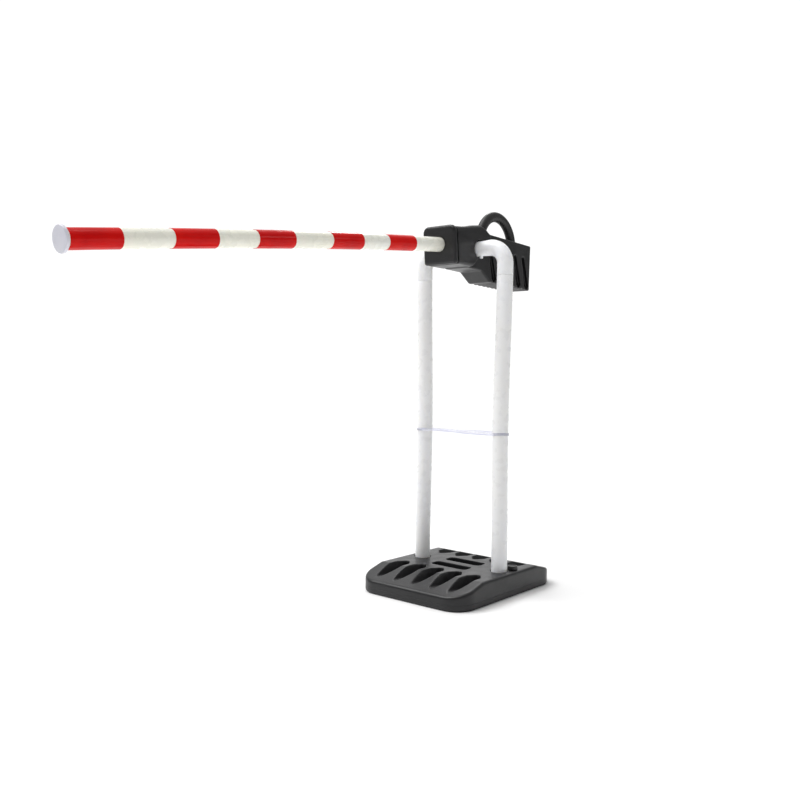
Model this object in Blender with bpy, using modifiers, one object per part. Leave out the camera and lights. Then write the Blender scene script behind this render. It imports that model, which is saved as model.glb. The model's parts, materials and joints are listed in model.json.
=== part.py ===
"""Parking barrier gate for a play traffic course.

Two bent plastic uprights stand in a ballasted base and carry a black head between their elbows.
The head holds the striped boom in front and a counterweight behind, and tips on the elbows' ends.

Metres, +Z up. The origin is on the floor midway between the uprights, the boom points to -X
and the pivot axis runs along Y. Left is +Y.
"""

from math import asin, cos, pi, radians, sin, tan

import bmesh
import bpy
from mathutils import Matrix, Vector

# Fits between pieces
CLEARANCE = 0.0003
LOOSE = 0.0006
SOCKET_PLAY = 0.0012

# Base, a blow-moulded box with a ramp at each end
BASE_LENGTH = 0.340
BASE_WIDTH = 0.262
BASE_HEIGHT = 0.0475
BASE_CENTRE_X = -0.004
BASE_CORNER_RADIUS = 0.045
BASE_EDGE = 0.004
BASE_WALL = 0.003
RAMP_LENGTH = 0.0745
RAMP_DROP = 0.0205

# Scooped pockets in the ramps, one row in front and one behind
POCKETS_PER_ROW = 5
POCKET_PITCH = 0.045
POCKET_WIDTH = 0.034
POCKET_START = 0.066
POCKET_MARGIN = 0.016
POCKET_NOSE = 0.045
POCKET_CORNER = 0.008
POCKET_FLOOR = 0.022

# Two slots across the middle of the base
GRIP_SLOT_LENGTH = 0.088
GRIP_SLOT_WIDTH = 0.027
GRIP_SLOT_CORNER = 0.009
GRIP_SLOT_OFFSET = 0.0245

# Filler for the ballast, behind the right upright
FILLER_BACK = 0.027
FILLER_OUTWARD = 0.0145
FILLER_HOLE_RADIUS = 0.0065
PLUG_DIAMETER = 0.020
PLUG_HEAD = 0.008
PLUG_EDGE = 0.001
PLUG_STEM = 0.012
SEAL_THICKNESS = 0.0016
BALLAST_TOP = 0.0165

# Uprights
UPRIGHT_DIAMETER = 0.032
UPRIGHT_WALL = 0.0025
UPRIGHT_SPACING = 0.197
UPRIGHT_SPLAY = 0.003
UPRIGHT_BOW = 0.0037
SOCKET_FLOOR = 0.008
SOCKET_WALL = 0.003
UPRIGHT_SPANS = 8

# Elbows and pivot
PIVOT_HEIGHT = 0.6955
SEAM_BELOW_PIVOT = 0.057
ELBOW_RADIUS = 0.034
JOURNAL_DIAMETER = 0.030
JOURNAL_INNER_END = 0.012
COUPLER_LENGTH = 0.044
COUPLER_WALL = 0.002
PEG_DIAMETER = 0.0065
PEG_STANDS_OUT = 0.0045
PEG_STEM_DIAMETER = 0.004
PEG_BARB_DIAMETER = 0.005

# Clear band that ties the uprights together
BAND_HEIGHT = 0.3225
BAND_WIDTH = 0.0055
BAND_THICKNESS = 0.001

# Swing of the boom: it hangs nose down on its stop, and lifts from there
REST_TILT = radians(5.0)
SWING = radians(85.0)

# Head, measured from the pivot axis along the boom
HEAD_WIDTH = 0.080
HEAD_WALL = 0.003
HEAD_FRONT = 0.0725
HEAD_FRONT_TOP = 0.0405
HEAD_FRONT_BOTTOM = -0.0305
HEAD_REAR = 0.042
HEAD_REAR_TOP = 0.0507
HEAD_REAR_BOTTOM = -0.042
HEAD_TOP_CORNER = 0.011
HEAD_BOTTOM_CORNER = 0.006
HEAD_EDGE = 0.002
CHEEK_LOW = (-0.0256, -0.0353)
CHEEK_HIGH = (0.0354, 0.0144)
SHOULDER = (0.0145, 0.0450)
SHOULDER_FALL = radians(33)
HOLLOW_BACK = 0.024
PIVOT_BORE_RADIUS = 0.018
BUSH_SINK = 0.0005
STOP_WEB = 0.019
STOP_WEB_LENGTH = 0.044

# Counterweight arm behind the head, turned down from the boom's line
ARM_DROP = radians(7.2)
ARM_WIDTH = 0.056
ARM_TOP = 0.0393
ARM_BOTTOM = -0.0402
ARM_REAR = 0.212
ARM_FRONT = 0.026
ARM_EDGE = 0.004
KEEL_BOTTOM = -0.0587
KEEL_FRONT_TOP = 0.026
KEEL_FRONT_BOTTOM = 0.058
FLUTES = 5
FLUTE_PITCH = 0.0318
FLUTE_LAST_BEFORE_REAR = 0.0125
FLUTE_TOP = 0.011
FLUTE_ABOVE_KEEL = 0.003
FLUTE_TOP_WIDTH = 0.0124
FLUTE_BOTTOM_WIDTH = 0.0178
FLUTE_LEAN = radians(14.0)
FLUTE_DEPTH = 0.0075

# Counterweight, bolted to the arm's rear wall
WEIGHT_LENGTH = 0.022
WEIGHT_HEIGHT = 0.036
WEIGHT_SIDE_GAP = 0.0025
BOLT_DIAMETER = 0.005
BOLT_HEAD_DIAMETER = 0.009
BOLT_HEAD = 0.003
BOLT_BITE = 0.014
BOLT_SPREAD = 0.020

# Loop handle
HANDLE_DIAMETER = 0.0185
HANDLE_RADIUS = 0.0575
HANDLE_CENTRE = 0.1225
HANDLE_CENTRE_BELOW_TOP = 0.0032
HANDLE_SUNK = 0.016
HANDLE_PIN_DIAMETER = 0.005

# Swing stop, a pin across the head that runs in a notch in each elbow's end
STOP_PIN_DIAMETER = 0.004
STOP_PIN_RADIUS = 0.0128
STOP_PIN_LENGTH = 0.040
STOP_NOTCH_DEPTH = 0.0095

# Boom collar
COLLAR_GROOVE = 0.003
COLLAR_THICKNESS = 0.0095
COLLAR_TOP = 0.0465
COLLAR_BOTTOM = -0.030
COLLAR_EDGE = 0.004
COLLAR_LIP = 0.009
COLLAR_LIP_WALL = 0.003
SLEEVE_WALL = 0.0035
SLEEVE_LENGTH = 0.045

# Boom
BOOM_DIAMETER = 0.0285
BOOM_WALL = 0.0018
BOOM_REACH = 0.787
BOOM_RISE = 0.0097
BOOM_SAG = 0.0172
BOOM_INSERTED = 0.050
BOOM_SPANS = 10
CROSS_PIN_DIAMETER = 0.005
CROSS_PIN_INSET = 0.036
END_CAP_DIAMETER = 0.038
END_CAP_FLANGE = 0.0055
END_CAP_PLUG = 0.022

# Red tape bands, laid by hand, so some sit a little off the even pitch
TAPE_LENGTH = 0.0765
TAPE_THICKNESS = 0.0005
TAPE_BARE_AT_COLLAR = 0.0850
TAPE_BARE_AT_TIP = 0.0032
TAPE_SHIFTS = (0, -0.0095, -0.0020, -0.0035, 0)

# Sides of a round piece, and of a small one
ROUND = 24
SMALL_ROUND = 14

UP = Vector((0, 0, 1))
SIDES = {"left": 1, "right": -1}


def clear_scene():
    for old in list(bpy.data.objects):
        bpy.data.objects.remove(old)


clear_scene()
parts = bpy.data.collections.new("parking_barrier_gate")
cutters = bpy.data.collections.new("cutters")
bpy.context.scene.collection.children.link(parts)
bpy.context.scene.collection.children.link(cutters)


# Materials

def finish(name, colour, roughness, metallic=0.0):
    made = bpy.data.materials.new(name)
    made.use_nodes = True
    shader = made.node_tree.nodes["Principled BSDF"]
    shader.inputs["Base Color"].default_value = (*colour, 1)
    shader.inputs["Roughness"].default_value = roughness
    shader.inputs["Metallic"].default_value = metallic
    made.diffuse_color = (*colour, 1)
    return made


black_plastic = finish("black_plastic", (0.026, 0.026, 0.028), 0.42)
handle_black = finish("handle_black", (0.022, 0.022, 0.022), 0.55)
white_plastic = finish("white_plastic", (0.80, 0.80, 0.77), 0.30)
red_tape = finish("red_tape", (0.62, 0.016, 0.012), 0.25)
clear_band = finish("clear_band", (0.70, 0.78, 0.86), 0.18)
steel = finish("steel", (0.55, 0.55, 0.56), 0.35, metallic=1.0)
cast_iron = finish("cast_iron", (0.10, 0.10, 0.11), 0.65, metallic=0.8)
rubber = finish("rubber", (0.02, 0.02, 0.02), 0.8)
sand = finish("sand", (0.55, 0.44, 0.28), 0.95)


# Making objects

def add_object(name, mesh, material=None, parent=None):
    """A part when it has a material, and a cutter when it has none."""
    made = bpy.data.objects.new(name, mesh)
    if material:
        mesh.materials.append(material)
        parts.objects.link(made)
    else:
        made.hide_render = True
        made.display_type = "WIRE"
        cutters.objects.link(made)
    made.parent = parent
    return made


def add_empty(name, location, turn, parent=None):
    """An empty turned about Y."""
    made = bpy.data.objects.new(name, None)
    made.location = location
    made.rotation_euler = (0, turn, 0)
    made.parent = parent
    parts.objects.link(made)
    return made


def mesh_from(shape, name):
    bmesh.ops.recalc_face_normals(shape, faces=shape.faces[:])
    mesh = bpy.data.meshes.new(name)
    shape.to_mesh(mesh)
    shape.free()
    mesh.shade_smooth()
    mesh.set_sharp_from_angle(angle=radians(32))
    return mesh


def add_shape(name, shape, material=None, parent=None):
    return add_object(name, mesh_from(shape, name), material, parent)


def poly_curve(outlines, cyclic, dimensions):
    curve = bpy.data.curves.new("path", "CURVE")
    curve.dimensions = dimensions
    for points in outlines:
        spline = curve.splines.new("POLY")
        spline.points.add(len(points) - 1)
        for spot, point in zip(spline.points, points):
            spot.co = (*Vector(point).to_3d(), 1)
        spline.use_cyclic_u = cyclic
    return curve


def bmesh_from_curve(curve):
    """The evaluated curve as a welded bmesh."""
    holder = bpy.data.objects.new("curve_guide", curve)
    cutters.objects.link(holder)
    bpy.context.view_layer.update()
    evaluated = holder.evaluated_get(bpy.context.evaluated_depsgraph_get())
    mesh = bpy.data.meshes.new_from_object(evaluated)
    shape = bmesh.new()
    shape.from_mesh(mesh)
    bmesh.ops.remove_doubles(shape, verts=shape.verts[:], dist=1e-6)
    bpy.data.objects.remove(holder)
    bpy.data.meshes.remove(mesh)
    return shape


def plate(outlines, thickness):
    """A flat plate in the XY plane, half its thickness to each side. An inner outline is a hole."""
    curve = poly_curve(outlines, True, "2D")
    curve.fill_mode = "BOTH"
    curve.extrude = thickness / 2
    return bmesh_from_curve(curve)


def flat_plate(outline, bottom, top):
    """A plate whose outline is drawn in X and Y."""
    shape = plate([outline], top - bottom)
    bmesh.ops.translate(shape, verts=shape.verts[:], vec=(0, 0, (bottom + top) / 2))
    return shape


def side_plate(outline, width, centre_y=0):
    """A plate whose outline is drawn in X and Z."""
    shape = plate([outline], width)
    bmesh.ops.rotate(shape, verts=shape.verts[:], matrix=Matrix.Rotation(pi / 2, 3, "X"))
    bmesh.ops.translate(shape, verts=shape.verts[:], vec=(0, centre_y, 0))
    return shape


def front_plate(outline, start, end):
    """A plate whose outline is drawn in Y and Z, from X = start to X = end."""
    shape = plate([outline], end - start)
    turn = Matrix(((0, 0, 1), (1, 0, 0), (0, 1, 0)))
    bmesh.ops.rotate(shape, verts=shape.verts[:], matrix=turn)
    bmesh.ops.translate(shape, verts=shape.verts[:], vec=((start + end) / 2, 0, 0))
    return shape


def slice_off(shape, point, normal):
    """Cuts away what lies beyond the plane, on the side its normal points to."""
    sliced = bmesh.ops.bisect_plane(
        shape,
        geom=shape.verts[:] + shape.edges[:] + shape.faces[:],
        plane_co=point,
        plane_no=normal,
        clear_outer=True,
    )
    rim = [piece for piece in sliced["geom_cut"] if isinstance(piece, bmesh.types.BMEdge)]
    bmesh.ops.holes_fill(shape, edges=rim, sides=len(rim))


def rod(radius, start, end, sides=ROUND):
    """A round bar from start to end."""
    start = Vector(start)
    end = Vector(end)
    shape = bmesh.new()
    bmesh.ops.create_cone(
        shape,
        cap_ends=True,
        segments=sides,
        radius1=radius,
        radius2=radius,
        depth=(end - start).length,
    )
    turn = UP.rotation_difference(end - start).to_matrix().to_4x4()
    place = Matrix.Translation((start + end) / 2) @ turn
    bmesh.ops.transform(shape, verts=shape.verts[:], matrix=place)
    return shape


def box(low, high):
    low = Vector(low)
    high = Vector(high)
    shape = bmesh.new()
    bmesh.ops.create_cube(shape, size=1)
    bmesh.ops.scale(shape, verts=shape.verts[:], vec=high - low)
    bmesh.ops.translate(shape, verts=shape.verts[:], vec=(low + high) / 2)
    return shape


def joined(shapes):
    """Several shapes that don't touch, in one bmesh."""
    whole = bmesh.new()
    for shape in shapes:
        mesh = bpy.data.meshes.new("piece")
        shape.to_mesh(mesh)
        shape.free()
        whole.from_mesh(mesh)
        bpy.data.meshes.remove(mesh)
    return whole


def arc(centre, radius, start, end, steps):
    """Points on an arc, angles in degrees."""
    points = []
    for step in range(steps + 1):
        angle = radians(start + (end - start) * step / steps)
        points.append((centre[0] + radius * cos(angle), centre[1] + radius * sin(angle)))
    return points


def rounded_rectangle(x_low, x_high, y_low, y_high, low_radius, high_radius, steps=5):
    """An outline with one corner radius at its low Y edge and one at its high Y edge."""
    return (
        arc((x_high - high_radius, y_high - high_radius), high_radius, 0, 90, steps)
        + arc((x_low + high_radius, y_high - high_radius), high_radius, 90, 180, steps)
        + arc((x_low + low_radius, y_low + low_radius), low_radius, 180, 270, steps)
        + arc((x_high - low_radius, y_low + low_radius), low_radius, 270, 360, steps)
    )


def cut(target, cutter, operation="DIFFERENCE"):
    modifier = target.modifiers.new(cutter.name, "BOOLEAN")
    modifier.operation = operation
    modifier.solver = "EXACT"
    modifier.object = cutter


def round_edges(target, width, segments=2):
    modifier = target.modifiers.new("edges", "BEVEL")
    modifier.width = width
    modifier.segments = segments
    modifier.limit_method = "ANGLE"
    modifier.angle_limit = radians(40)


def add_tube(name, points, radii, wall, material, parent=None):
    """A hollow tube with open ends, its outer radius given at each point."""
    curve = poly_curve([points], False, "3D")
    curve.bevel_depth = 1.0
    curve.bevel_resolution = (ROUND - 4) // 2
    for spot, radius in zip(curve.splines[0].points, radii):
        spot.radius = radius
    made = add_shape(name, bmesh_from_curve(curve), material, parent)
    skin = made.modifiers.new("wall", "SOLIDIFY")
    skin.thickness = wall
    skin.offset = -1
    return made


def add_turned(name, profile, material, parent=None, sides=ROUND):
    """A turned piece: its profile runs down the outer side, as (radius, height)."""
    mesh = bpy.data.meshes.new(name)
    points = [(radius, 0, height) for radius, height in profile]
    edges = [(i, i + 1) for i in range(len(points) - 1)]
    if profile[0][0] > 0:
        edges.append((len(points) - 1, 0))
    mesh.from_pydata(points, edges, [])
    made = add_object(name, mesh, material, parent)
    turning = made.modifiers.new("turning", "SCREW")
    turning.axis = "Z"
    turning.steps = sides
    turning.render_steps = sides
    turning.use_merge_vertices = True
    turning.merge_threshold = 0.00005
    turning.use_smooth_shade = True
    return made


# Base

base_front = BASE_CENTRE_X - BASE_LENGTH / 2
base_back = BASE_CENTRE_X + BASE_LENGTH / 2
ramp_slope = RAMP_DROP / RAMP_LENGTH
socket_radius = UPRIGHT_DIAMETER / 2 + SOCKET_PLAY
filler_x = FILLER_BACK
filler_y = -(UPRIGHT_SPACING / 2 + FILLER_OUTWARD)
ABOVE = BASE_HEIGHT + 0.01


def base_block(inset):
    """The base's outer form, or with an inset the hollow inside its wall."""
    half_width = BASE_WIDTH / 2 - inset
    radius = BASE_CORNER_RADIUS - inset
    outline = rounded_rectangle(
        base_front + inset, base_back - inset, -half_width, half_width, radius, radius, steps=6
    )
    shape = flat_plate(outline, inset, BASE_HEIGHT - inset)
    for end in (-1, 1):
        flat_end = BASE_CENTRE_X + end * (BASE_LENGTH / 2 - RAMP_LENGTH)
        normal = Vector((end * ramp_slope, 0, 1)).normalized()
        slice_off(shape, Vector((flat_end, 0, BASE_HEIGHT)) - normal * inset, normal)
    return shape


def pocket(end, y, grown):
    """One scoop: deepest at its inner end, its floor rising to the ramp's surface at the tip."""
    tip = BASE_LENGTH / 2 - POCKET_MARGIN
    tip_height = BASE_HEIGHT - (RAMP_LENGTH - POCKET_MARGIN) * ramp_slope
    floor_slope = (tip_height - POCKET_FLOOR) / (tip - POCKET_START)
    start = POCKET_START - grown
    half = POCKET_WIDTH / 2 + grown
    corner = POCKET_CORNER + grown
    nose = [
        (tip + grown - POCKET_NOSE * (1 - cos(angle)), half * sin(angle))
        for angle in [radians(-90 + 18 * step) for step in range(11)]
    ]
    outline = (
        arc((start + corner, corner - half), corner, 180, 270, 3)
        + nose
        + arc((start + corner, half - corner), corner, 90, 180, 3)
    )
    shape = flat_plate(outline, 0, ABOVE)
    slice_off(shape, (POCKET_START, 0, POCKET_FLOOR - grown), Vector((floor_slope, 0, -1)).normalized())
    if end < 0:
        bmesh.ops.rotate(shape, verts=shape.verts[:], matrix=Matrix.Rotation(pi, 3, "Z"))
    bmesh.ops.translate(shape, verts=shape.verts[:], vec=(BASE_CENTRE_X, y, 0))
    return shape


def grip_slot(side, grown):
    x = BASE_CENTRE_X + side * GRIP_SLOT_OFFSET
    half_length = GRIP_SLOT_LENGTH / 2 + grown
    half_width = GRIP_SLOT_WIDTH / 2 + grown
    corner = GRIP_SLOT_CORNER + grown
    outline = rounded_rectangle(
        x - half_width, x + half_width, -half_length, half_length, corner, corner, steps=3
    )
    return flat_plate(outline, POCKET_FLOOR - grown, ABOVE)


def hollows_from_above(grown):
    """All pockets and slots, or with a growth the walls around them."""
    shapes = [grip_slot(side, grown) for side in (-1, 1)]
    for end in (-1, 1):
        for i in range(POCKETS_PER_ROW):
            y = (i - (POCKETS_PER_ROW - 1) / 2) * POCKET_PITCH
            shapes.append(pocket(end, y, grown))
    return joined(shapes)


def sockets(radius, bottom):
    shapes = []
    for side in SIDES.values():
        y = side * UPRIGHT_SPACING / 2
        shapes.append(rod(radius, (0, y, bottom), (0, y, ABOVE)))
    return joined(shapes)


recess_radius = PLUG_DIAMETER / 2 + LOOSE
recess_floor = BASE_HEIGHT - SEAL_THICKNESS - 2 * CLEARANCE

cavity = add_shape("base_cavity", base_block(BASE_WALL))
cut(cavity, add_shape("pocket_walls", hollows_from_above(BASE_WALL)))
cut(cavity, add_shape("socket_towers", sockets(socket_radius + SOCKET_WALL, -0.01)))
recess_wall = rod(
    recess_radius + BASE_WALL,
    (filler_x, filler_y, recess_floor - BASE_WALL),
    (filler_x, filler_y, ABOVE),
)
cut(cavity, add_shape("recess_wall", recess_wall))

base_shell = add_shape("base_shell", base_block(0), black_plastic)
round_edges(base_shell, BASE_EDGE)
cut(base_shell, cavity)
cut(base_shell, add_shape("pockets", hollows_from_above(0)))
cut(base_shell, add_shape("upright_sockets", sockets(socket_radius, SOCKET_FLOOR)))
recess = rod(recess_radius, (filler_x, filler_y, recess_floor), (filler_x, filler_y, ABOVE))
cut(base_shell, add_shape("filler_recess", recess))
filler_hole = rod(
    FILLER_HOLE_RADIUS,
    (filler_x, filler_y, recess_floor - 2 * BASE_WALL),
    (filler_x, filler_y, recess_floor + BASE_WALL),
)
cut(base_shell, add_shape("filler_hole", filler_hole))

ballast_shape = base_block(BASE_WALL + CLEARANCE)
slice_off(ballast_shape, (0, 0, BALLAST_TOP), UP)
ballast_fill = add_shape("ballast_fill", ballast_shape, sand)
tower_holes = sockets(socket_radius + SOCKET_WALL + CLEARANCE, -0.01)
cut(ballast_fill, add_shape("tower_holes", tower_holes))

# The plug pulls straight up out of the filler hole, with its seal on it.
plug_axis = add_empty("plug_axis", (filler_x, filler_y, BASE_HEIGHT), 0)
plug_radius = PLUG_DIAMETER / 2
stem_radius = FILLER_HOLE_RADIUS - LOOSE
add_turned(
    "filler_plug",
    [
        (0, PLUG_HEAD),
        (plug_radius - PLUG_EDGE, PLUG_HEAD),
        (plug_radius, PLUG_HEAD - PLUG_EDGE),
        (plug_radius, 0),
        (stem_radius, 0),
        (stem_radius, -PLUG_STEM),
        (0, -PLUG_STEM),
    ],
    black_plastic,
    plug_axis,
)
add_turned(
    "plug_seal",
    [
        (plug_radius, -CLEARANCE),
        (plug_radius, -CLEARANCE - SEAL_THICKNESS),
        (stem_radius + CLEARANCE, -CLEARANCE - SEAL_THICKNESS),
        (stem_radius + CLEARANCE, -CLEARANCE),
    ],
    rubber,
    plug_axis,
)


# Uprights, elbows and what joins them

seam = PIVOT_HEIGHT - SEAM_BELOW_PIVOT
journal_radius = JOURNAL_DIAMETER / 2
upright_radius = UPRIGHT_DIAMETER / 2
upright_top_y = UPRIGHT_SPACING / 2 + UPRIGHT_SPLAY


def upright_y(height):
    """Centre line of an upright: straight in its socket, then splayed and drawn in by the band."""
    along = max(0.0, (height - BASE_HEIGHT) / (seam - BASE_HEIGHT))
    if along > 1:
        return upright_top_y
    return UPRIGHT_SPACING / 2 + UPRIGHT_SPLAY * along - UPRIGHT_BOW * sin(pi * along) ** 2


def add_upright(name, side):
    foot = SOCKET_FLOOR + CLEARANCE
    span = (seam - BASE_HEIGHT) / UPRIGHT_SPANS
    heights = [foot] + [BASE_HEIGHT + span * i for i in range(UPRIGHT_SPANS + 1)]
    points = [(0, side * upright_y(height), height) for height in heights]
    return add_tube(
        f"upright_tube_{name}", points, [upright_radius] * len(points), UPRIGHT_WALL, white_plastic
    )


def add_elbow(name, side):
    """Straight up from the seam, round the bend, and in to the head as a slimmer journal."""
    bend_y = upright_top_y - ELBOW_RADIUS
    bend = arc((bend_y, PIVOT_HEIGHT - ELBOW_RADIUS), ELBOW_RADIUS, 0, 90, 6)
    points = [(0, side * upright_top_y, seam + CLEARANCE)]
    points += [(0, side * y, height) for y, height in bend]
    radii = [upright_radius] * len(points)
    points.append((0, side * (HEAD_WIDTH / 2 + PEG_DIAMETER + LOOSE), PIVOT_HEIGHT))
    points.append((0, side * JOURNAL_INNER_END, PIVOT_HEIGHT))
    radii += [journal_radius] * 2
    made = add_tube(f"elbow_{name}", points, radii, UPRIGHT_WALL, white_plastic)
    cut(made, add_shape(f"stop_notch_{name}", stop_notch(side)))
    peg_y = side * (HEAD_WIDTH / 2 + LOOSE + PEG_DIAMETER / 2)
    peg_hole = rod(
        PEG_STEM_DIAMETER / 2 + CLEARANCE,
        (0, peg_y, PIVOT_HEIGHT - 2 * journal_radius),
        (0, peg_y, PIVOT_HEIGHT),
        sides=SMALL_ROUND,
    )
    cut(made, add_shape(f"peg_hole_{name}", peg_hole))
    return made


def stop_notch(side):
    """The sector of the journal's wall that the stop pin sweeps, at both stops 0.3 mm clear."""
    spare = asin((STOP_PIN_DIAMETER / 2 + CLEARANCE) / STOP_PIN_RADIUS)
    start = (pi - SWING) / 2 - spare
    sweep = SWING + 2 * spare
    steps = 12
    rim = []
    for radius, order in ((journal_radius * 1.2, 1), (journal_radius * 0.6, -1)):
        for step in range(steps + 1)[::order]:
            angle = start + sweep * step / steps
            rim.append((radius * cos(angle), PIVOT_HEIGHT + radius * sin(angle)))
    depth = STOP_NOTCH_DEPTH + 0.001
    return side_plate(rim, depth, side * (JOURNAL_INNER_END + STOP_NOTCH_DEPTH - depth / 2))


def add_coupler(name, side):
    """A sleeve inside the upright and the elbow that joins them at the seam."""
    heights = [seam + COUPLER_LENGTH * step / 4 for step in (-2, -1, 0, 1, 2)]
    points = [(0, side * upright_y(height), height) for height in heights]
    radius = upright_radius - UPRIGHT_WALL - CLEARANCE
    return add_tube(f"coupler_{name}", points, [radius] * 5, COUPLER_WALL, white_plastic)


def add_peg(name, side):
    """Clip peg under the elbow, beside the head, that keeps the head midway."""
    peg_y = side * (HEAD_WIDTH / 2 + LOOSE + PEG_DIAMETER / 2)
    stem = PEG_STEM_DIAMETER / 2
    wall_inside = -(journal_radius - UPRIGHT_WALL - LOOSE)
    profile = [
        (0, wall_inside + 0.002),
        (PEG_BARB_DIAMETER / 2 - 0.001, wall_inside + 0.002),
        (PEG_BARB_DIAMETER / 2, wall_inside),
        (stem, wall_inside),
        (stem, -journal_radius - CLEARANCE),
        (PEG_DIAMETER / 2, -journal_radius - CLEARANCE),
        (PEG_DIAMETER / 2, -journal_radius - PEG_STANDS_OUT + 0.001),
        (PEG_DIAMETER / 2 - 0.001, -journal_radius - PEG_STANDS_OUT),
        (0, -journal_radius - PEG_STANDS_OUT),
    ]
    made = add_turned(f"retaining_peg_{name}", profile, white_plastic, sides=SMALL_ROUND)
    made.location = (0, peg_y, PIVOT_HEIGHT)
    return made


for side_name, side_sign in SIDES.items():
    add_upright(side_name, side_sign)
    add_elbow(side_name, side_sign)
    add_coupler(side_name, side_sign)
    add_peg(side_name, side_sign)


def racetrack(radius):
    """An outline round both uprights at the band's height."""
    reach = upright_y(BAND_HEIGHT)
    return arc((0, reach), radius, 0, 180, 14) + arc((0, -reach), radius, 180, 360, 14)


band_inside = upright_radius + CLEARANCE
band_shape = plate([racetrack(band_inside + BAND_THICKNESS), racetrack(band_inside)], BAND_WIDTH)
tension_band = add_shape("tension_band", band_shape, clear_band)
tension_band.location = (0, 0, BAND_HEIGHT)


# Head

boom_pivot = add_empty("boom_pivot", (0, 0, PIVOT_HEIGHT), -REST_TILT)
arm_line = add_empty("arm_line", (0, 0, 0), ARM_DROP, boom_pivot)

half_head = HEAD_WIDTH / 2
half_arm = ARM_WIDTH / 2
arm_hollow_half = half_arm - FLUTE_DEPTH - HEAD_WALL


def head_front_block():
    """The wide front of the head: a rounded section that grows to the rear, cut off aslant."""
    outline = rounded_rectangle(
        -half_head, half_head, HEAD_FRONT_BOTTOM, HEAD_FRONT_TOP, HEAD_BOTTOM_CORNER, HEAD_TOP_CORNER
    )
    shape = front_plate(outline, -HEAD_FRONT, HEAD_REAR)
    growth = (HEAD_REAR_TOP - HEAD_REAR_BOTTOM) / (HEAD_FRONT_TOP - HEAD_FRONT_BOTTOM)
    for corner in shape.verts:
        if corner.co.x > 0:
            corner.co.z = HEAD_REAR_BOTTOM + (corner.co.z - HEAD_FRONT_BOTTOM) * growth
    low = Vector((CHEEK_LOW[0], 0, CHEEK_LOW[1]))
    high = Vector((CHEEK_HIGH[0], 0, CHEEK_HIGH[1]))
    slice_off(shape, low, (high - low).cross(Vector((0, -1, 0))).normalized())
    shoulder = Vector((SHOULDER[0], 0, SHOULDER[1]))
    slice_off(shape, shoulder, Vector((sin(SHOULDER_FALL), 0, cos(SHOULDER_FALL))))
    return shape


def arm_block(inset, front):
    """The counterweight arm with its keel, or with an inset the hollow inside it."""
    top = ARM_TOP - inset
    rear = ARM_REAR - inset
    outline = [
        (-front, top),
        (-front, ARM_BOTTOM + inset),
        (KEEL_FRONT_TOP + inset, ARM_BOTTOM + inset),
        (KEEL_FRONT_BOTTOM + inset, KEEL_BOTTOM + inset),
        (rear, KEEL_BOTTOM + inset),
        (rear, top),
    ]
    return side_plate(outline, 2 * arm_hollow_half if inset else ARM_WIDTH)


def flutes():
    """Raked slots in both flanks of the arm, wider at the bottom."""
    shapes = []
    bottom = KEEL_BOTTOM + FLUTE_ABOVE_KEEL
    run = (FLUTE_TOP - bottom) * tan(FLUTE_LEAN)
    depth = FLUTE_DEPTH + 0.005
    for i in range(FLUTES):
        low_x = ARM_REAR - FLUTE_LAST_BEFORE_REAR - i * FLUTE_PITCH
        high_x = low_x - run
        low_half = FLUTE_BOTTOM_WIDTH / 2
        high_half = FLUTE_TOP_WIDTH / 2
        outline = arc((high_x, FLUTE_TOP - high_half), high_half, 15, 165, 4)
        outline += arc((low_x, bottom + low_half), low_half, 190, 350, 4)
        for side in SIDES.values():
            y = side * (half_arm - FLUTE_DEPTH + depth / 2)
            shapes.append(side_plate(outline, depth, y))
    return joined(shapes)


head_body = add_shape("head_body", head_front_block(), black_plastic, boom_pivot)
round_edges(head_body, HEAD_EDGE, segments=1)
arm_form = add_shape("arm_form", arm_block(0, ARM_FRONT), parent=arm_line)
round_edges(arm_form, ARM_EDGE)
cut(head_body, arm_form, "UNION")
cut(head_body, add_shape("flute_slots", flutes(), parent=arm_line))

# The hollow in front takes the collar's lip and sleeve, the one in the arm the weight.
opening_half = half_head - HEAD_WALL
opening_top = HEAD_FRONT_TOP - HEAD_WALL
opening_bottom = HEAD_FRONT_BOTTOM + HEAD_WALL
opening_corners = (HEAD_BOTTOM_CORNER - HEAD_WALL, HEAD_TOP_CORNER - HEAD_WALL)
opening = rounded_rectangle(
    -opening_half, opening_half, opening_bottom, opening_top, *opening_corners, steps=4
)
front_hollow = front_plate(opening, -HEAD_FRONT - 0.005, -HOLLOW_BACK)
cut(head_body, add_shape("front_hollow", front_hollow, parent=boom_pivot))
arm_hollow = add_shape("arm_hollow", arm_block(HEAD_WALL, HOLLOW_BACK + 0.004), parent=arm_line)
web = box(
    (-STOP_WEB_LENGTH / 2, -STOP_WEB / 2, -2 * HEAD_WIDTH), (STOP_WEB_LENGTH / 2, STOP_WEB / 2, HEAD_WIDTH)
)
cut(arm_hollow, add_shape("stop_web", web, parent=arm_line))
cut(head_body, arm_hollow)

bore_end = (STOP_WEB / 2 + JOURNAL_INNER_END) / 2
bores = [
    rod(PIVOT_BORE_RADIUS, (0, side * bore_end, 0), (0, side * HEAD_WIDTH, 0))
    for side in SIDES.values()
]
cut(head_body, add_shape("pivot_bores", joined(bores), parent=boom_pivot))

# Pin that stops the swing, held in the web
pin_angle = (pi + SWING) / 2 - REST_TILT
stop_x = STOP_PIN_RADIUS * cos(pin_angle)
stop_z = STOP_PIN_RADIUS * sin(pin_angle)


def across(radius, x, z, half_length):
    """A bar across the head at x, z."""
    return rod(radius, (x, -half_length, z), (x, half_length, z), sides=SMALL_ROUND)


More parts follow.
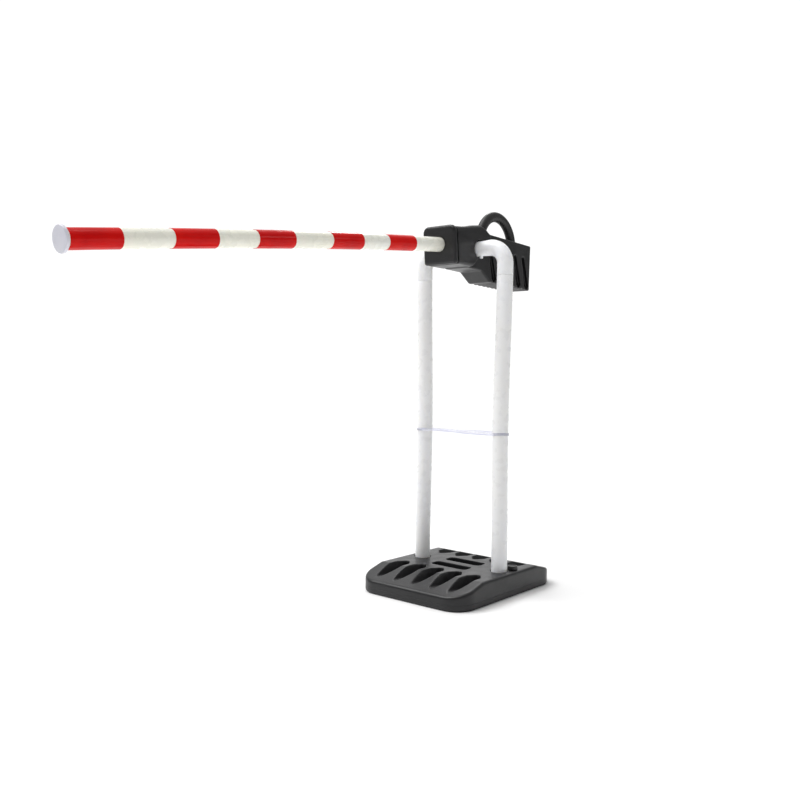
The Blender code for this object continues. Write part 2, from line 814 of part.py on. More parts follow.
stop_radius = STOP_PIN_DIAMETER / 2
stop_pin_hole = across(stop_radius + CLEARANCE, stop_x, stop_z, JOURNAL_INNER_END)
cut(head_body, add_shape("stop_pin_hole", stop_pin_hole, parent=boom_pivot))
stop_pin = across(stop_radius, stop_x, stop_z, STOP_PIN_LENGTH / 2)
add_shape("swing_stop_pin", stop_pin, steel, boom_pivot)

# Bushes in the arm's walls, one round each elbow's end
bush_outer = PIVOT_BORE_RADIUS - CLEARANCE
bush_inner = journal_radius + LOOSE
bush_half = (half_arm - BUSH_SINK - arm_hollow_half) / 2
bush_y = arm_hollow_half + bush_half
for side_name, side_sign in SIDES.items():
    bush = add_turned(
        f"pivot_bush_{side_name}",
        [(bush_outer, bush_half), (bush_outer, -bush_half), (bush_inner, -bush_half)]
        + [(bush_inner, bush_half)],
        white_plastic,
        boom_pivot,
    )
    bush.location = (0, side_sign * bush_y, 0)
    bush.rotation_euler = (pi / 2, 0, 0)

# Counterweight against the rear wall, low in the keel
weight_rear = ARM_REAR - HEAD_WALL - CLEARANCE
weight_bottom = KEEL_BOTTOM + HEAD_WALL + CLEARANCE
weight_half = arm_hollow_half - WEIGHT_SIDE_GAP
weight_shape = box(
    (weight_rear - WEIGHT_LENGTH, -weight_half, weight_bottom),
    (weight_rear, weight_half, weight_bottom + WEIGHT_HEIGHT),
)
counterweight = add_shape("counterweight", weight_shape, cast_iron, arm_line)
bolt_z = weight_bottom + WEIGHT_HEIGHT / 2


def bolt_bar(side, radius, start, end):
    y = side * BOLT_SPREAD / 2
    return rod(radius, (start, y, bolt_z), (end, y, bolt_z), sides=SMALL_ROUND)


bolt_tip = weight_rear - BOLT_BITE
bolt_under_head = ARM_REAR + CLEARANCE
bolt_top = bolt_under_head + BOLT_HEAD
bolt_radius = BOLT_DIAMETER / 2
bolt_holes = joined(
    [
        bolt_bar(side, bolt_radius + CLEARANCE, bolt_tip - CLEARANCE, bolt_top)
        for side in SIDES.values()
    ]
)
bolt_hole_cutter = add_shape("bolt_holes", bolt_holes, parent=arm_line)
cut(counterweight, bolt_hole_cutter)
cut(head_body, bolt_hole_cutter)
for side_name, side_sign in SIDES.items():
    bolt_head = bolt_bar(side_sign, BOLT_HEAD_DIAMETER / 2, bolt_under_head, bolt_top)
    bolt = add_shape(f"counterweight_bolt_{side_name}", bolt_head, steel, arm_line)
    shank = bolt_bar(side_sign, bolt_radius, bolt_tip, bolt_under_head + BOLT_HEAD / 2)
    cut(bolt, add_shape(f"bolt_shank_{side_name}", shank, parent=arm_line), "UNION")

# Handle: its feet go down through the arm's top and are pinned below it.
handle_radius = HANDLE_DIAMETER / 2
foot_z = ARM_TOP - HANDLE_SUNK
loop_centre = (HANDLE_CENTRE, ARM_TOP - HANDLE_CENTRE_BELOW_TOP)
loop = arc(loop_centre, HANDLE_RADIUS, 0, 180, 20)
feet_x = (HANDLE_CENTRE - HANDLE_RADIUS, HANDLE_CENTRE + HANDLE_RADIUS)
handle_path = [(feet_x[1], foot_z)] + loop + [(feet_x[0], foot_z)]
handle_curve = poly_curve([[(x, 0, z) for x, z in handle_path]], False, "3D")
handle_curve.bevel_depth = handle_radius
handle_curve.bevel_resolution = 6
handle_curve.use_fill_caps = True
lift_handle = add_shape("lift_handle", bmesh_from_curve(handle_curve), handle_black, arm_line)
pin_radius = HANDLE_PIN_DIAMETER / 2
pin_z = (foot_z + ARM_TOP - HEAD_WALL) / 2
foot_holes = joined(
    [rod(handle_radius + CLEARANCE, (x, 0, foot_z), (x, 0, 2 * ARM_TOP)) for x in feet_x]
)
cut(head_body, add_shape("handle_holes", foot_holes, parent=arm_line))
pin_holes = joined([across(pin_radius + CLEARANCE, x, pin_z, half_arm) for x in feet_x])
cut(lift_handle, add_shape("handle_pin_holes", pin_holes, parent=arm_line))
for foot_name, foot_x in zip(("front", "rear"), feet_x):
    handle_pin = across(pin_radius, foot_x, pin_z, arm_hollow_half - LOOSE)
    add_shape(f"handle_pin_{foot_name}", handle_pin, steel, arm_line)


# Boom and its collar

boom_radius = BOOM_DIAMETER / 2
collar_back = -HEAD_FRONT - COLLAR_GROOVE
collar_front = collar_back - COLLAR_THICKNESS
boom_tip = collar_front - BOOM_REACH


def boom_z(x):
    """Centre line of the boom: straight in the collar, then sagging to the tip."""
    out = max(0.0, (collar_front - x) / BOOM_REACH)
    return BOOM_RISE - BOOM_SAG * out ** 2


def boom_line(start, end, spans):
    points = []
    for step in range(spans + 1):
        x = start + (end - start) * step / spans
        points.append((x, 0, boom_z(x)))
    return points


collar_plate = front_plate(
    rounded_rectangle(
        -half_head, half_head, COLLAR_BOTTOM, COLLAR_TOP, HEAD_BOTTOM_CORNER, HEAD_TOP_CORNER
    ),
    collar_front,
    collar_back,
)
boom_collar = add_shape("boom_collar", collar_plate, black_plastic, boom_pivot)
round_edges(boom_collar, COLLAR_EDGE)


def lip_outline(inset):
    low_corner, high_corner = opening_corners
    return rounded_rectangle(
        inset - opening_half,
        opening_half - inset,
        opening_bottom + inset,
        opening_top - inset,
        low_corner,
        high_corner,
        steps=4,
    )


lip_end = collar_back + COLLAR_LIP
lip = front_plate(lip_outline(CLEARANCE), collar_back - 0.001, lip_end)
cut(boom_collar, add_shape("collar_lip", lip, parent=boom_pivot), "UNION")
lip_hollow = front_plate(lip_outline(COLLAR_LIP_WALL), collar_back, lip_end + 0.001)
cut(boom_collar, add_shape("lip_hollow", lip_hollow, parent=boom_pivot))
sleeve = rod(
    boom_radius + CLEARANCE + SLEEVE_WALL,
    (collar_back - 0.001, 0, BOOM_RISE),
    (collar_back + SLEEVE_LENGTH, 0, BOOM_RISE),
)
cut(boom_collar, add_shape("boom_sleeve", sleeve, parent=boom_pivot), "UNION")
boom_bore = rod(
    boom_radius + CLEARANCE,
    (collar_front - 0.005, 0, BOOM_RISE),
    (collar_back + SLEEVE_LENGTH + 0.005, 0, BOOM_RISE),
)
cut(boom_collar, add_shape("boom_bore", boom_bore, parent=boom_pivot))
cross_pin_x = collar_front + CROSS_PIN_INSET
cross_radius = CROSS_PIN_DIAMETER / 2
cross_hole = across(cross_radius + CLEARANCE, cross_pin_x, BOOM_RISE, half_head - HEAD_WALL - CLEARANCE)
cross_hole_cutter = add_shape("cross_pin_hole", cross_hole, parent=boom_pivot)
cut(boom_collar, cross_hole_cutter)

boom_end = collar_front + BOOM_INSERTED
boom_points = [(boom_end, 0, BOOM_RISE)] + boom_line(collar_front, boom_tip, BOOM_SPANS)
boom_tube = add_tube(
    "boom_tube",
    boom_points,
    [boom_radius] * len(boom_points),
    BOOM_WALL,
    white_plastic,
    boom_pivot,
)
cut(boom_tube, cross_hole_cutter)
cross_pin_half = boom_radius + CLEARANCE + SLEEVE_WALL
cross_pin = across(cross_radius, cross_pin_x, BOOM_RISE, cross_pin_half)
add_shape("boom_cross_pin", cross_pin, steel, boom_pivot)

# Tape bands, from the one nearest the head
first_middle = TAPE_BARE_AT_COLLAR + TAPE_LENGTH / 2
last_middle = BOOM_REACH - TAPE_BARE_AT_TIP - TAPE_LENGTH / 2
for number, shift in enumerate(TAPE_SHIFTS):
    middle = first_middle + (last_middle - first_middle) * number / (len(TAPE_SHIFTS) - 1) + shift
    middle_x = collar_front - middle
    band_points = boom_line(middle_x + TAPE_LENGTH / 2, middle_x - TAPE_LENGTH / 2, 2)
    outer = boom_radius + CLEARANCE + TAPE_THICKNESS
    add_tube(
        f"red_band_{number + 1}", band_points, [outer] * 3, TAPE_THICKNESS, red_tape, boom_pivot
    )

# End cap, in line with the boom's last stretch
tip_slope = 2 * BOOM_SAG / BOOM_REACH
cap_axis = add_empty("cap_axis", (boom_tip, 0, boom_z(boom_tip)), -pi / 2 - tip_slope, boom_pivot)
flange = END_CAP_DIAMETER / 2
plug = boom_radius - BOOM_WALL - LOOSE
cap_edge = END_CAP_FLANGE * 0.3
add_turned(
    "boom_end_cap",
    [
        (0, END_CAP_FLANGE),
        (flange - cap_edge, END_CAP_FLANGE),
        (flange, END_CAP_FLANGE - cap_edge),
        (flange, CLEARANCE),
        (plug, CLEARANCE),
        (plug, -END_CAP_PLUG),
        (0, -END_CAP_PLUG),
    ],
    white_plastic,
    cap_axis,
)
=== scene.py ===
import json
from math import atan2, cos, pi, radians, sin, tan

import bmesh
import bpy
from mathutils import Matrix, Quaternion, Vector


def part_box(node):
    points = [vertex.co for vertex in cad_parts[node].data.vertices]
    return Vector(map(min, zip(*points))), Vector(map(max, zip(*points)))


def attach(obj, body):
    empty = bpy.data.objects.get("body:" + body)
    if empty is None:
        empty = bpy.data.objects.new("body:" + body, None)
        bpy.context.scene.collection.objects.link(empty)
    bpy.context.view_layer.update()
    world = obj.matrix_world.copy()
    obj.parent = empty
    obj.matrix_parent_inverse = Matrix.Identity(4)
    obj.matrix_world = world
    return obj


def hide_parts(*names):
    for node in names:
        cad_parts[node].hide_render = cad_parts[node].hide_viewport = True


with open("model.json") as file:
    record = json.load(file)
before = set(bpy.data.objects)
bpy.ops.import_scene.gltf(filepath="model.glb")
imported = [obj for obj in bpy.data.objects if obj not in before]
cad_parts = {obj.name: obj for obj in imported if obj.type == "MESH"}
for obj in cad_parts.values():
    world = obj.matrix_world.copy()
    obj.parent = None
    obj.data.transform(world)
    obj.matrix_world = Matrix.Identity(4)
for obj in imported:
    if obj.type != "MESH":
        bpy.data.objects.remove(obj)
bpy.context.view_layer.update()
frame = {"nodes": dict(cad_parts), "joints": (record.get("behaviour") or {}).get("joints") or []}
print("frame loaded with", len(frame["nodes"]), "nodes")

view = bpy.context.scene.view_settings
view.view_transform = "Standard"

# the gate stands on z = 0, its boom points to -X and the pivot runs along Y
liftJoint = next(joint for joint in frame["joints"] if joint["name"] == "boom_lift")
pivot = Vector(liftJoint["pos_m"])
up = Vector((0, 0, 1))


# ---- camera and room

camera = {
    "place": (-1.415, -1.033, 0.4515),
    "yaw": radians(40.32),  # from +X towards +Y
    "pitch": radians(-2.14),
    "roll": radians(0.67),
    "lens": 37.98,
}


def addCamera(spec):
    data = bpy.data.cameras.new("camera")
    data.lens = spec["lens"]
    data.sensor_width = 36
    data.clip_start = 0.05
    seen = bpy.data.objects.new("camera", data)
    level = cos(spec["pitch"])
    forward = Vector((cos(spec["yaw"]) * level, sin(spec["yaw"]) * level, sin(spec["pitch"])))
    turn = forward.to_track_quat("-Z", "Y") @ Quaternion((0, 0, 1), spec["roll"])
    seen.matrix_world = Matrix.Translation(spec["place"]) @ turn.to_matrix().to_4x4()
    bpy.context.scene.collection.objects.link(seen)
    bpy.context.scene.camera = seen


addCamera(camera)

room = {
    "floorSize": 60,
    "floorColour": (0.86, 0.86, 0.86),
    "backdropTurn": radians(40),  # the white backdrop stands this way, from +X towards +Y
    "backdropLight": 1.08,
    "roomLight": 0.20,
    "ceilingLight": 0.75,
    "sunFrom": (-0.45, 0.55, 1.3),
    "sunStrength": 2.45,
    "sunSoftness": radians(42),
    "softboxes": [
        # name, place, aims at, size, watts
        ("overheadSoftbox", (-0.5, -0.2, 2.2), (-0.2, 0, 0.5), 0.8, 3.5),
        ("leftSoftbox", (-1.9, 1.9, 1.5), (-0.2, 0, 0.6), 0.6, 3.5),
        ("rightSoftbox", (1.3, -1.9, 1.7), (0, 0, 0.5), 0.6, 2.5),
        ("backSoftbox", (1.5, 1.2, 2.5), (0, 0, 0.5), 0.45, 9),
    ],
}


def addRoom(spec):
    bm = bmesh.new()
    bmesh.ops.create_grid(bm, x_segments=1, y_segments=1, size=spec["floorSize"] / 2)
    mesh = bpy.data.meshes.new("floor")
    bm.to_mesh(mesh)
    bm.free()
    floor = bpy.data.objects.new("floor", mesh)
    bpy.context.scene.collection.objects.link(floor)
    paint = bpy.data.materials.new("floorPaint")
    paint.use_nodes = True
    shader = paint.node_tree.nodes["Principled BSDF"]
    shader.inputs["Base Color"].default_value = (*spec["floorColour"], 1)
    shader.inputs["Roughness"].default_value = 0.9
    shader.inputs["Specular IOR Level"].default_value = 0.2
    mesh.materials.append(paint)
    addSky(spec)
    sun = bpy.data.lights.new("sun", "SUN")
    sun.energy = spec["sunStrength"]
    sun.angle = spec["sunSoftness"]
    addLamp("sun", sun, spec["sunFrom"], (0, 0, 0))
    for name, place, target, size, watts in spec["softboxes"]:
        light = bpy.data.lights.new(name, "AREA")
        light.shape = "DISK"
        light.size = size
        light.energy = watts
        addLamp(name, light, place, target)


def addLamp(name, light, place, target):
    lamp = bpy.data.objects.new(name, light)
    aim = (Vector(target) - Vector(place)).to_track_quat("-Z", "Y")
    lamp.matrix_world = Matrix.Translation(place) @ aim.to_matrix().to_4x4()
    bpy.context.scene.collection.objects.link(lamp)


def addSky(spec):
    # a white backdrop on one side, a dimmer room round the rest and a pale ceiling
    world = bpy.data.worlds.new("studio")
    world.use_nodes = True
    tree = world.node_tree
    sky = tree.nodes["Background"]
    sky.inputs["Color"].default_value = (1, 1, 1, 1)
    coords = tree.nodes.new("ShaderNodeTexCoord")

    def facing(direction, low, high, start, end):
        dot = tree.nodes.new("ShaderNodeVectorMath")
        dot.operation = "DOT_PRODUCT"
        dot.inputs[1].default_value = direction
        tree.links.new(coords.outputs["Generated"], dot.inputs[0])
        ramp = tree.nodes.new("ShaderNodeMapRange")
        ramp.interpolation_type = "SMOOTHSTEP"
        for socket, value in (("From Min", low), ("From Max", high), ("To Min", start), ("To Max", end)):
            ramp.inputs[socket].default_value = value
        tree.links.new(dot.outputs["Value"], ramp.inputs["Value"])
        return ramp.outputs["Result"]

    turn = spec["backdropTurn"]
    backdrop = facing((cos(turn), sin(turn), 0), 0.45, 0.85, spec["roomLight"], spec["backdropLight"])
    ceiling = facing((0, 0, 1), 0.4, 0.95, 0, spec["ceilingLight"])
    brighter = tree.nodes.new("ShaderNodeMath")
    brighter.operation = "MAXIMUM"
    tree.links.new(backdrop, brighter.inputs[0])
    tree.links.new(ceiling, brighter.inputs[1])
    tree.links.new(brighter.outputs["Value"], sky.inputs["Strength"])
    bpy.context.scene.world = world


addRoom(room)
print("camera and room ready")


# ---- materials


class Nodes:
    # short hand for wiring one material

    def __init__(self, name):
        self.material = bpy.data.materials.new(name)
        self.material.use_nodes = True
        self.tree = self.material.node_tree
        self.shader = self.tree.nodes["Principled BSDF"]
        self.coords = self.add("ShaderNodeTexCoord").outputs["Object"]

    def add(self, kind, **settings):
        node = self.tree.nodes.new(kind)
        for key, value in settings.items():
            setattr(node, key, value)
        return node

    def link(self, start, end):
        self.tree.links.new(start, end)

    def set(self, **values):
        for key, value in values.items():
            self.shader.inputs[key.replace("_", " ")].default_value = value

    def noise(self, scale, detail=2.0, roughness=0.5, stretch=(1, 1, 1)):
        mapping = self.add("ShaderNodeMapping")
        mapping.inputs["Scale"].default_value = stretch
        self.link(self.coords, mapping.inputs["Vector"])
        node = self.add("ShaderNodeTexNoise")
        node.inputs["Scale"].default_value = scale
        node.inputs["Detail"].default_value = detail
        node.inputs["Roughness"].default_value = roughness
        self.link(mapping.outputs["Vector"], node.inputs["Vector"])
        return node.outputs["Fac"]

    def span(self, value, low, high, start=0.0, end=1.0):
        # remaps value from low..high to start..end, clamped
        node = self.add("ShaderNodeMapRange")
        node.inputs["From Min"].default_value = low
        node.inputs["From Max"].default_value = high
        node.inputs["To Min"].default_value = start
        node.inputs["To Max"].default_value = end
        self.link(value, node.inputs["Value"])
        return node.outputs["Result"]

    def mix(self, factor, first, second):
        node = self.add("ShaderNodeMix", data_type="RGBA")
        self.link(factor, node.inputs["Factor"])
        for value, socket in ((first, node.inputs["A"]), (second, node.inputs["B"])):
            if isinstance(value, tuple):
                socket.default_value = (*value, 1)
            else:
                self.link(value, socket)
        return node.outputs["Result"]

    def bump(self, height, distance, strength=1.0, before=None):
        node = self.add("ShaderNodeBump")
        node.inputs["Distance"].default_value = distance
        node.inputs["Strength"].default_value = strength
        self.link(height, node.inputs["Height"])
        if before:
            self.link(before, node.inputs["Normal"])
        return node.outputs["Normal"]


def mouldedBlack(name, colour, paler, roughness, grain, partingHeight=None):
    # satin polyethylene: faint cloudy tone, fine grain, orange peel and thin scuffs
    n = Nodes(name)
    cloud = n.span(n.noise(9, 3), 0.35, 0.68)
    tone = n.mix(cloud, colour, paler)
    scuffs = n.span(n.noise(160, 4, 0.7, (1, 5, 1)), 0.66, 0.74)
    tone = n.mix(n.span(scuffs, 0, 1, 0, 0.10), tone, (0.16, 0.16, 0.165))
    n.link(tone, n.shader.inputs["Base Color"])
    sheen = n.span(n.noise(38, 3), 0.3, 0.7, roughness - 0.05, roughness + 0.07)
    n.link(sheen, n.shader.inputs["Roughness"])
    peel = n.bump(n.noise(260, 2), 0.0005, 0.25)
    fine = n.bump(n.noise(grain, 3, 0.65), 0.00012, 0.5, peel)
    if partingHeight:
        # the line where the two mould halves met
        split = n.add("ShaderNodeSeparateXYZ")
        n.link(n.coords, split.inputs["Vector"])
        away = n.add("ShaderNodeMath", operation="SUBTRACT")
        n.link(split.outputs["Z"], away.inputs[0])
        away.inputs[1].default_value = partingHeight
        size = n.add("ShaderNodeMath", operation="ABSOLUTE")
        n.link(away.outputs["Value"], size.inputs[0])
        ridge = n.span(size.outputs["Value"], 0.0, 0.0006, 1, 0)
        fine = n.bump(ridge, 0.0004, 0.8, fine)
    n.link(fine, n.shader.inputs["Normal"])
    n.set(Specular_IOR_Level=0.42)
    return n.material


def whiteTubing(name, warm, cool, roughness):
    # slightly translucent extruded tube: cool and warm stretches, long draw lines
    n = Nodes(name)
    drift = n.span(n.noise(3, 1), 0.35, 0.65)
    tone = n.mix(drift, warm, cool)
    specks = n.span(n.noise(240, 3, 0.6), 0.70, 0.78)
    tone = n.mix(n.span(specks, 0, 1, 0, 0.02), tone, (0.55, 0.54, 0.50))
    n.link(tone, n.shader.inputs["Base Color"])
    sheen = n.span(n.noise(60, 3), 0.3, 0.7, roughness - 0.04, roughness + 0.06)
    n.link(sheen, n.shader.inputs["Roughness"])
    draw = n.bump(n.noise(420, 2, 0.5, (0.05, 1, 0.05)), 0.00001, 0.05)
    n.link(n.bump(n.noise(900, 2), 0.00001, 0.06, draw), n.shader.inputs["Normal"])
    n.set(Subsurface_Weight=0.22, Subsurface_Radius=(0.9, 0.85, 0.7), Subsurface_Scale=0.004)
    return n.material


def glossTape(name, deep, bright):
    # vinyl tape pulled round by hand: glossy, with a few fine creases along the boom
    n = Nodes(name)
    tone = n.mix(n.span(n.noise(22, 3), 0.3, 0.7), deep, bright)
    n.link(tone, n.shader.inputs["Base Color"])
    n.link(n.span(n.noise(70, 3), 0.3, 0.7, 0.16, 0.27), n.shader.inputs["Roughness"])
    ripple = n.bump(n.noise(120, 2, 0.5, (0.35, 1, 1)), 0.0006, 0.22)
    crease = n.span(n.noise(85, 4, 0.6, (0.18, 1.3, 1)), 0.60, 0.66)
    n.link(n.bump(crease, 0.0003, 0.5, ripple), n.shader.inputs["Normal"])
    n.set(Specular_IOR_Level=0.12, Coat_Weight=0.03, Coat_Roughness=0.08)
    return n.material


def clearStrap(name, middle, edge, height, reach):
    # clear film with painted light at its two edges: a darker lilac tint where the film's edges show as
    # lines
    n = Nodes(name)
    split = n.add("ShaderNodeSeparateXYZ")
    n.link(n.coords, split.inputs["Vector"])
    away = n.add("ShaderNodeMath", operation="SUBTRACT")
    n.link(split.outputs["Z"], away.inputs[0])
    away.inputs[1].default_value = height
    size = n.add("ShaderNodeMath", operation="ABSOLUTE")
    n.link(away.outputs["Value"], size.inputs[0])
    # painted light: near its two edges the band takes the darker lilac edge colour
    rim = n.span(size.outputs["Value"], reach * 0.62, reach * 0.85)
    streaks = n.span(n.noise(300, 3, 0.5, (1, 0.1, 4)), 0.35, 0.65, 0, 0.25)
    tone = n.mix(streaks, middle, edge)
    n.link(n.mix(rim, tone, edge), n.shader.inputs["Base Color"])
    n.link(n.span(n.noise(500, 2), 0.3, 0.7, 0.06, 0.18), n.shader.inputs["Roughness"])
    n.link(n.bump(n.noise(700, 2, 0.5, (1, 0.08, 2)), 0.0001, 0.3), n.shader.inputs["Normal"])
    n.set(Transmission_Weight=0.88, IOR=1.35)
    return n.material


def bareMetal(name, colour, darker, roughness, grain):
    n = Nodes(name)
    n.link(n.mix(n.span(n.noise(grain / 4, 4), 0.35, 0.65), colour, darker), n.shader.inputs["Base Color"])
    worn = n.span(n.noise(grain, 3), 0.3, 0.7, roughness - 0.08, roughness + 0.12)
    n.link(worn, n.shader.inputs["Roughness"])
    n.link(n.bump(n.noise(grain * 3, 3, 0.6, (0.2, 1, 1)), 0.0001, 0.4), n.shader.inputs["Normal"])
    n.set(Metallic=1.0)
    return n.material


def packedSand(name):
    n = Nodes(name)
    grains = n.span(n.noise(1500, 4, 0.7), 0.3, 0.7)
    n.link(n.mix(grains, (0.34, 0.26, 0.15), (0.66, 0.55, 0.38)), n.shader.inputs["Base Color"])
    n.link(n.bump(n.noise(1100, 4, 0.7), 0.0008, 0.9), n.shader.inputs["Normal"])
    n.set(Roughness=0.95)
    return n.material


basePlastic = mouldedBlack("basePlastic", (0.010, 0.010, 0.011), (0.015, 0.015, 0.016), 0.36, 1500, 0.012)
headPlastic = mouldedBlack("headPlastic", (0.009, 0.009, 0.0095), (0.013, 0.013, 0.014), 0.34, 1700)
handlePlastic = mouldedBlack("handlePlastic", (0.010, 0.010, 0.010), (0.018, 0.018, 0.018), 0.46, 900)
tubePlastic = whiteTubing("tubePlastic", (0.90, 0.90, 0.89), (0.90, 0.91, 0.93), 0.28)
boomPlastic = whiteTubing("boomPlastic", (0.89, 0.87, 0.73), (0.88, 0.88, 0.80), 0.26)
capPlastic = whiteTubing("capPlastic", (0.66, 0.66, 0.72), (0.70, 0.70, 0.78), 0.32)
redTape = glossTape("redTape", (0.54, 0.002, 0.003), (0.68, 0.006, 0.004))
strapLow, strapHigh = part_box("tension_band")
strapPlastic = clearStrap(
    "strapPlastic",
    (0.96, 0.965, 1.0),
    (0.42, 0.42, 0.74),
    (strapLow.z + strapHigh.z) / 2,
    (strapHigh.z - strapLow.z) / 2,
)
pinSteel = bareMetal("pinSteel", (0.55, 0.55, 0.56), (0.38, 0.38, 0.39), 0.32, 700)
castIron = bareMetal("castIron", (0.11, 0.11, 0.12), (0.06, 0.06, 0.06), 0.62, 500)
sealRubber = mouldedBlack("sealRubber", (0.014, 0.014, 0.014), (0.022, 0.022, 0.022), 0.78, 800)
sandFill = packedSand("sandFill")
print("materials ready")


# ---- modelling tools shared by the pieces


def newObject(name, bm, material=None, weld=0.000002, sharpAngle=38):
    bmesh.ops.remove_doubles(bm, verts=bm.verts[:], dist=weld)
    bmesh.ops.recalc_face_normals(bm, faces=bm.faces[:])
    mesh = bpy.data.meshes.new(name)
    bm.to_mesh(mesh)
    bm.free()
    mesh.shade_smooth()
    mesh.set_sharp_from_angle(angle=radians(sharpAngle))
    piece = bpy.data.objects.new(name, mesh)
    bpy.context.scene.collection.objects.link(piece)
    if material:
        mesh.materials.append(material)
    return piece


def standsFor(piece, body, slot, *nodes):
    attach(piece, body)
    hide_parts(*nodes)
    print(piece.name, "has", len(piece.data.polygons), "faces")


def hullOfPosts(posts, low, high, segments=32):
    # the block that wraps upright posts, each given as x, y, half length and half width
    bm = bmesh.new()
    for x, y, halfLength, halfWidth in posts:
        post = bmesh.ops.create_cone(
            bm, cap_ends=True, segments=segments, radius1=1, radius2=1, depth=high - low
        )
        size = Matrix.Diagonal((halfLength, halfWidth, 1, 1))
        spot = Matrix.Translation((x, y, (low + high) / 2))
        bmesh.ops.transform(bm, verts=post["verts"], matrix=spot @ size)
    bmesh.ops.delete(bm, geom=bm.edges[:] + bm.faces[:], context="EDGES_FACES")
    hull = bmesh.ops.convex_hull(bm, input=bm.verts[:])
    spare = [g for g in hull["geom_unused"] + hull["geom_interior"] if isinstance(g, bmesh.types.BMVert)]
    bmesh.ops.delete(bm, geom=list(set(spare)), context="VERTS")
    cleanFlats(bm)
    return bm


def cleanFlats(bm):
    bmesh.ops.dissolve_limit(bm, angle_limit=radians(0.6), verts=bm.verts[:], edges=bm.edges[:])


def trim(bm, point, normal):
    # takes away what lies beyond the plane and closes the cut
    sliced = bmesh.ops.bisect_plane(
        bm,
        geom=bm.verts[:] + bm.edges[:] + bm.faces[:],
        plane_co=point,
        plane_no=Vector(normal).normalized(),
        clear_outer=True,
    )
    rim = [g for g in sliced["geom_cut"] if isinstance(g, bmesh.types.BMEdge)]
    bmesh.ops.edgeloop_fill(bm, edges=rim)


def roundOff(bm, offset, segments, minAngle=40, chosen=None):
    edges = [
        edge
        for edge in bm.edges
        if edge.calc_face_angle(0) > radians(minAngle) and (chosen is None or chosen(edge))
    ]
    bmesh.ops.bevel(
        bm,
        geom=edges,
        offset=offset,
        offset_type="OFFSET",
        affect="EDGES",
        segments=segments,
        profile=0.5,
        material=-1,
        clamp_overlap=True,
    )


def combine(target, cutter, kind="DIFFERENCE"):
    step = target.modifiers.new(cutter.name, "BOOLEAN")
    step.operation = kind
    step.solver = "EXACT"
    step.object = cutter


def applied(piece):
    # the piece with its modifiers made real
    bpy.context.view_layer.update()
    graph = bpy.context.evaluated_depsgraph_get()
    mesh = bpy.data.meshes.new_from_object(piece.evaluated_get(graph))
    piece.modifiers.clear()
    piece.data = mesh
    return piece


def soften(piece, voxel, passes):
    # remeshes a moulding and rounds every edge the way a blown or injected part comes out
    step = piece.modifiers.new("remesh", "REMESH")
    step.mode = "VOXEL"
    step.voxel_size = voxel
    applied(piece)
    bm = bmesh.new()
    bm.from_mesh(piece.data)
    for _ in range(passes):
        bmesh.ops.smooth_vert(
            bm, verts=bm.verts[:], factor=0.5, use_axis_x=True, use_axis_y=True, use_axis_z=True
        )
    return bm


def finishMesh(piece, bm, material):
    bmesh.ops.recalc_face_normals(bm, faces=bm.faces[:])
    bm.to_mesh(piece.data)
    bm.free()
    piece.data.materials.clear()
    piece.data.materials.append(material)
    piece.data.shade_smooth()
    return piece


def dropCutters(cutters):
    for cutter in cutters:
        bpy.data.objects.remove(cutter)


def grownRing(bm, ring, move):
    # extrudes a ring of edges, moves the new ring and returns its edges
    grown = bmesh.ops.extrude_edge_only(bm, edges=ring)
    fresh = {g for g in grown["geom"] if isinstance(g, bmesh.types.BMVert)}
    bmesh.ops.transform(bm, verts=list(fresh), matrix=move)
    return [g for g in grown["geom"] if isinstance(g, bmesh.types.BMEdge) and fresh.issuperset(g.verts)]


def sweep(path, radii, sides, wall=None, heading=None):
    # a ring carried along a path, square to it or to one heading: a rod, or a tube with a wall
    points = [Vector(point) for point in path]
    faced = up
    turn = Quaternion()
    places = []
    for index, (point, radius) in enumerate(zip(points, radii)):
        ahead = points[min(index + 1, len(points) - 1)] - points[max(index - 1, 0)]
        now = (heading or ahead).normalized()
        turn = faced.rotation_difference(now) @ turn
        faced = now
        places.append(Matrix.Translation(point) @ turn.to_matrix().to_4x4() @ widened(radius))
    if wall:  # the inner surface runs back along the same path
        inner = [place @ widened(1 - wall / radius) for place, radius in zip(places, radii)]
        places += inner[::-1]
    bm = bmesh.new()
    bmesh.ops.create_circle(bm, cap_ends=not wall, segments=sides, radius=1)
    first = ring = bm.edges[:]
    spread(bm, places[0])
    for before, place in zip(places, places[1:]):
        ring = grownRing(bm, ring, place @ before.inverted())
    if wall:
        bmesh.ops.bridge_loops(bm, edges=first + ring)
    else:
        bmesh.ops.edgeloop_fill(bm, edges=ring)
    return bm


def widened(factor):
    return Matrix.Diagonal((factor, factor, 1, 1))


def turned(profile, steps, place):
    # spins a profile of (radius, height) about Z and puts it where place says
    bm = bmesh.new()
    corners = [bm.verts.new((radius, 0, height)) for radius, height in profile]
    edges = [bm.edges.new(pair) for pair in zip(corners, corners[1:])]
    if profile[0][0] > 0:
        edges.append(bm.edges.new((corners[-1], corners[0])))
    bmesh.ops.spin(
        bm, geom=corners + edges, cent=(0, 0, 0), axis=(0, 0, 1), angle=2 * pi, steps=steps, use_merge=True
    )
    bmesh.ops.remove_doubles(bm, verts=bm.verts[:], dist=0.000002)
    bmesh.ops.transform(bm, verts=bm.verts[:], matrix=place)
    return bm


def quarter(centreRadius, centreHeight, radius, start, end, steps):
    # points of a rounded edge on a turned profile, angles in degrees
    points = []
    for step in range(steps + 1):
        angle = radians(start + (end - start) * step / steps)
        points.append((centreRadius + radius * cos(angle), centreHeight + radius * sin(angle)))
    return points


def spread(bm, matrix):
    bmesh.ops.transform(bm, verts=bm.verts[:], matrix=matrix)
    return bm


# ---- base

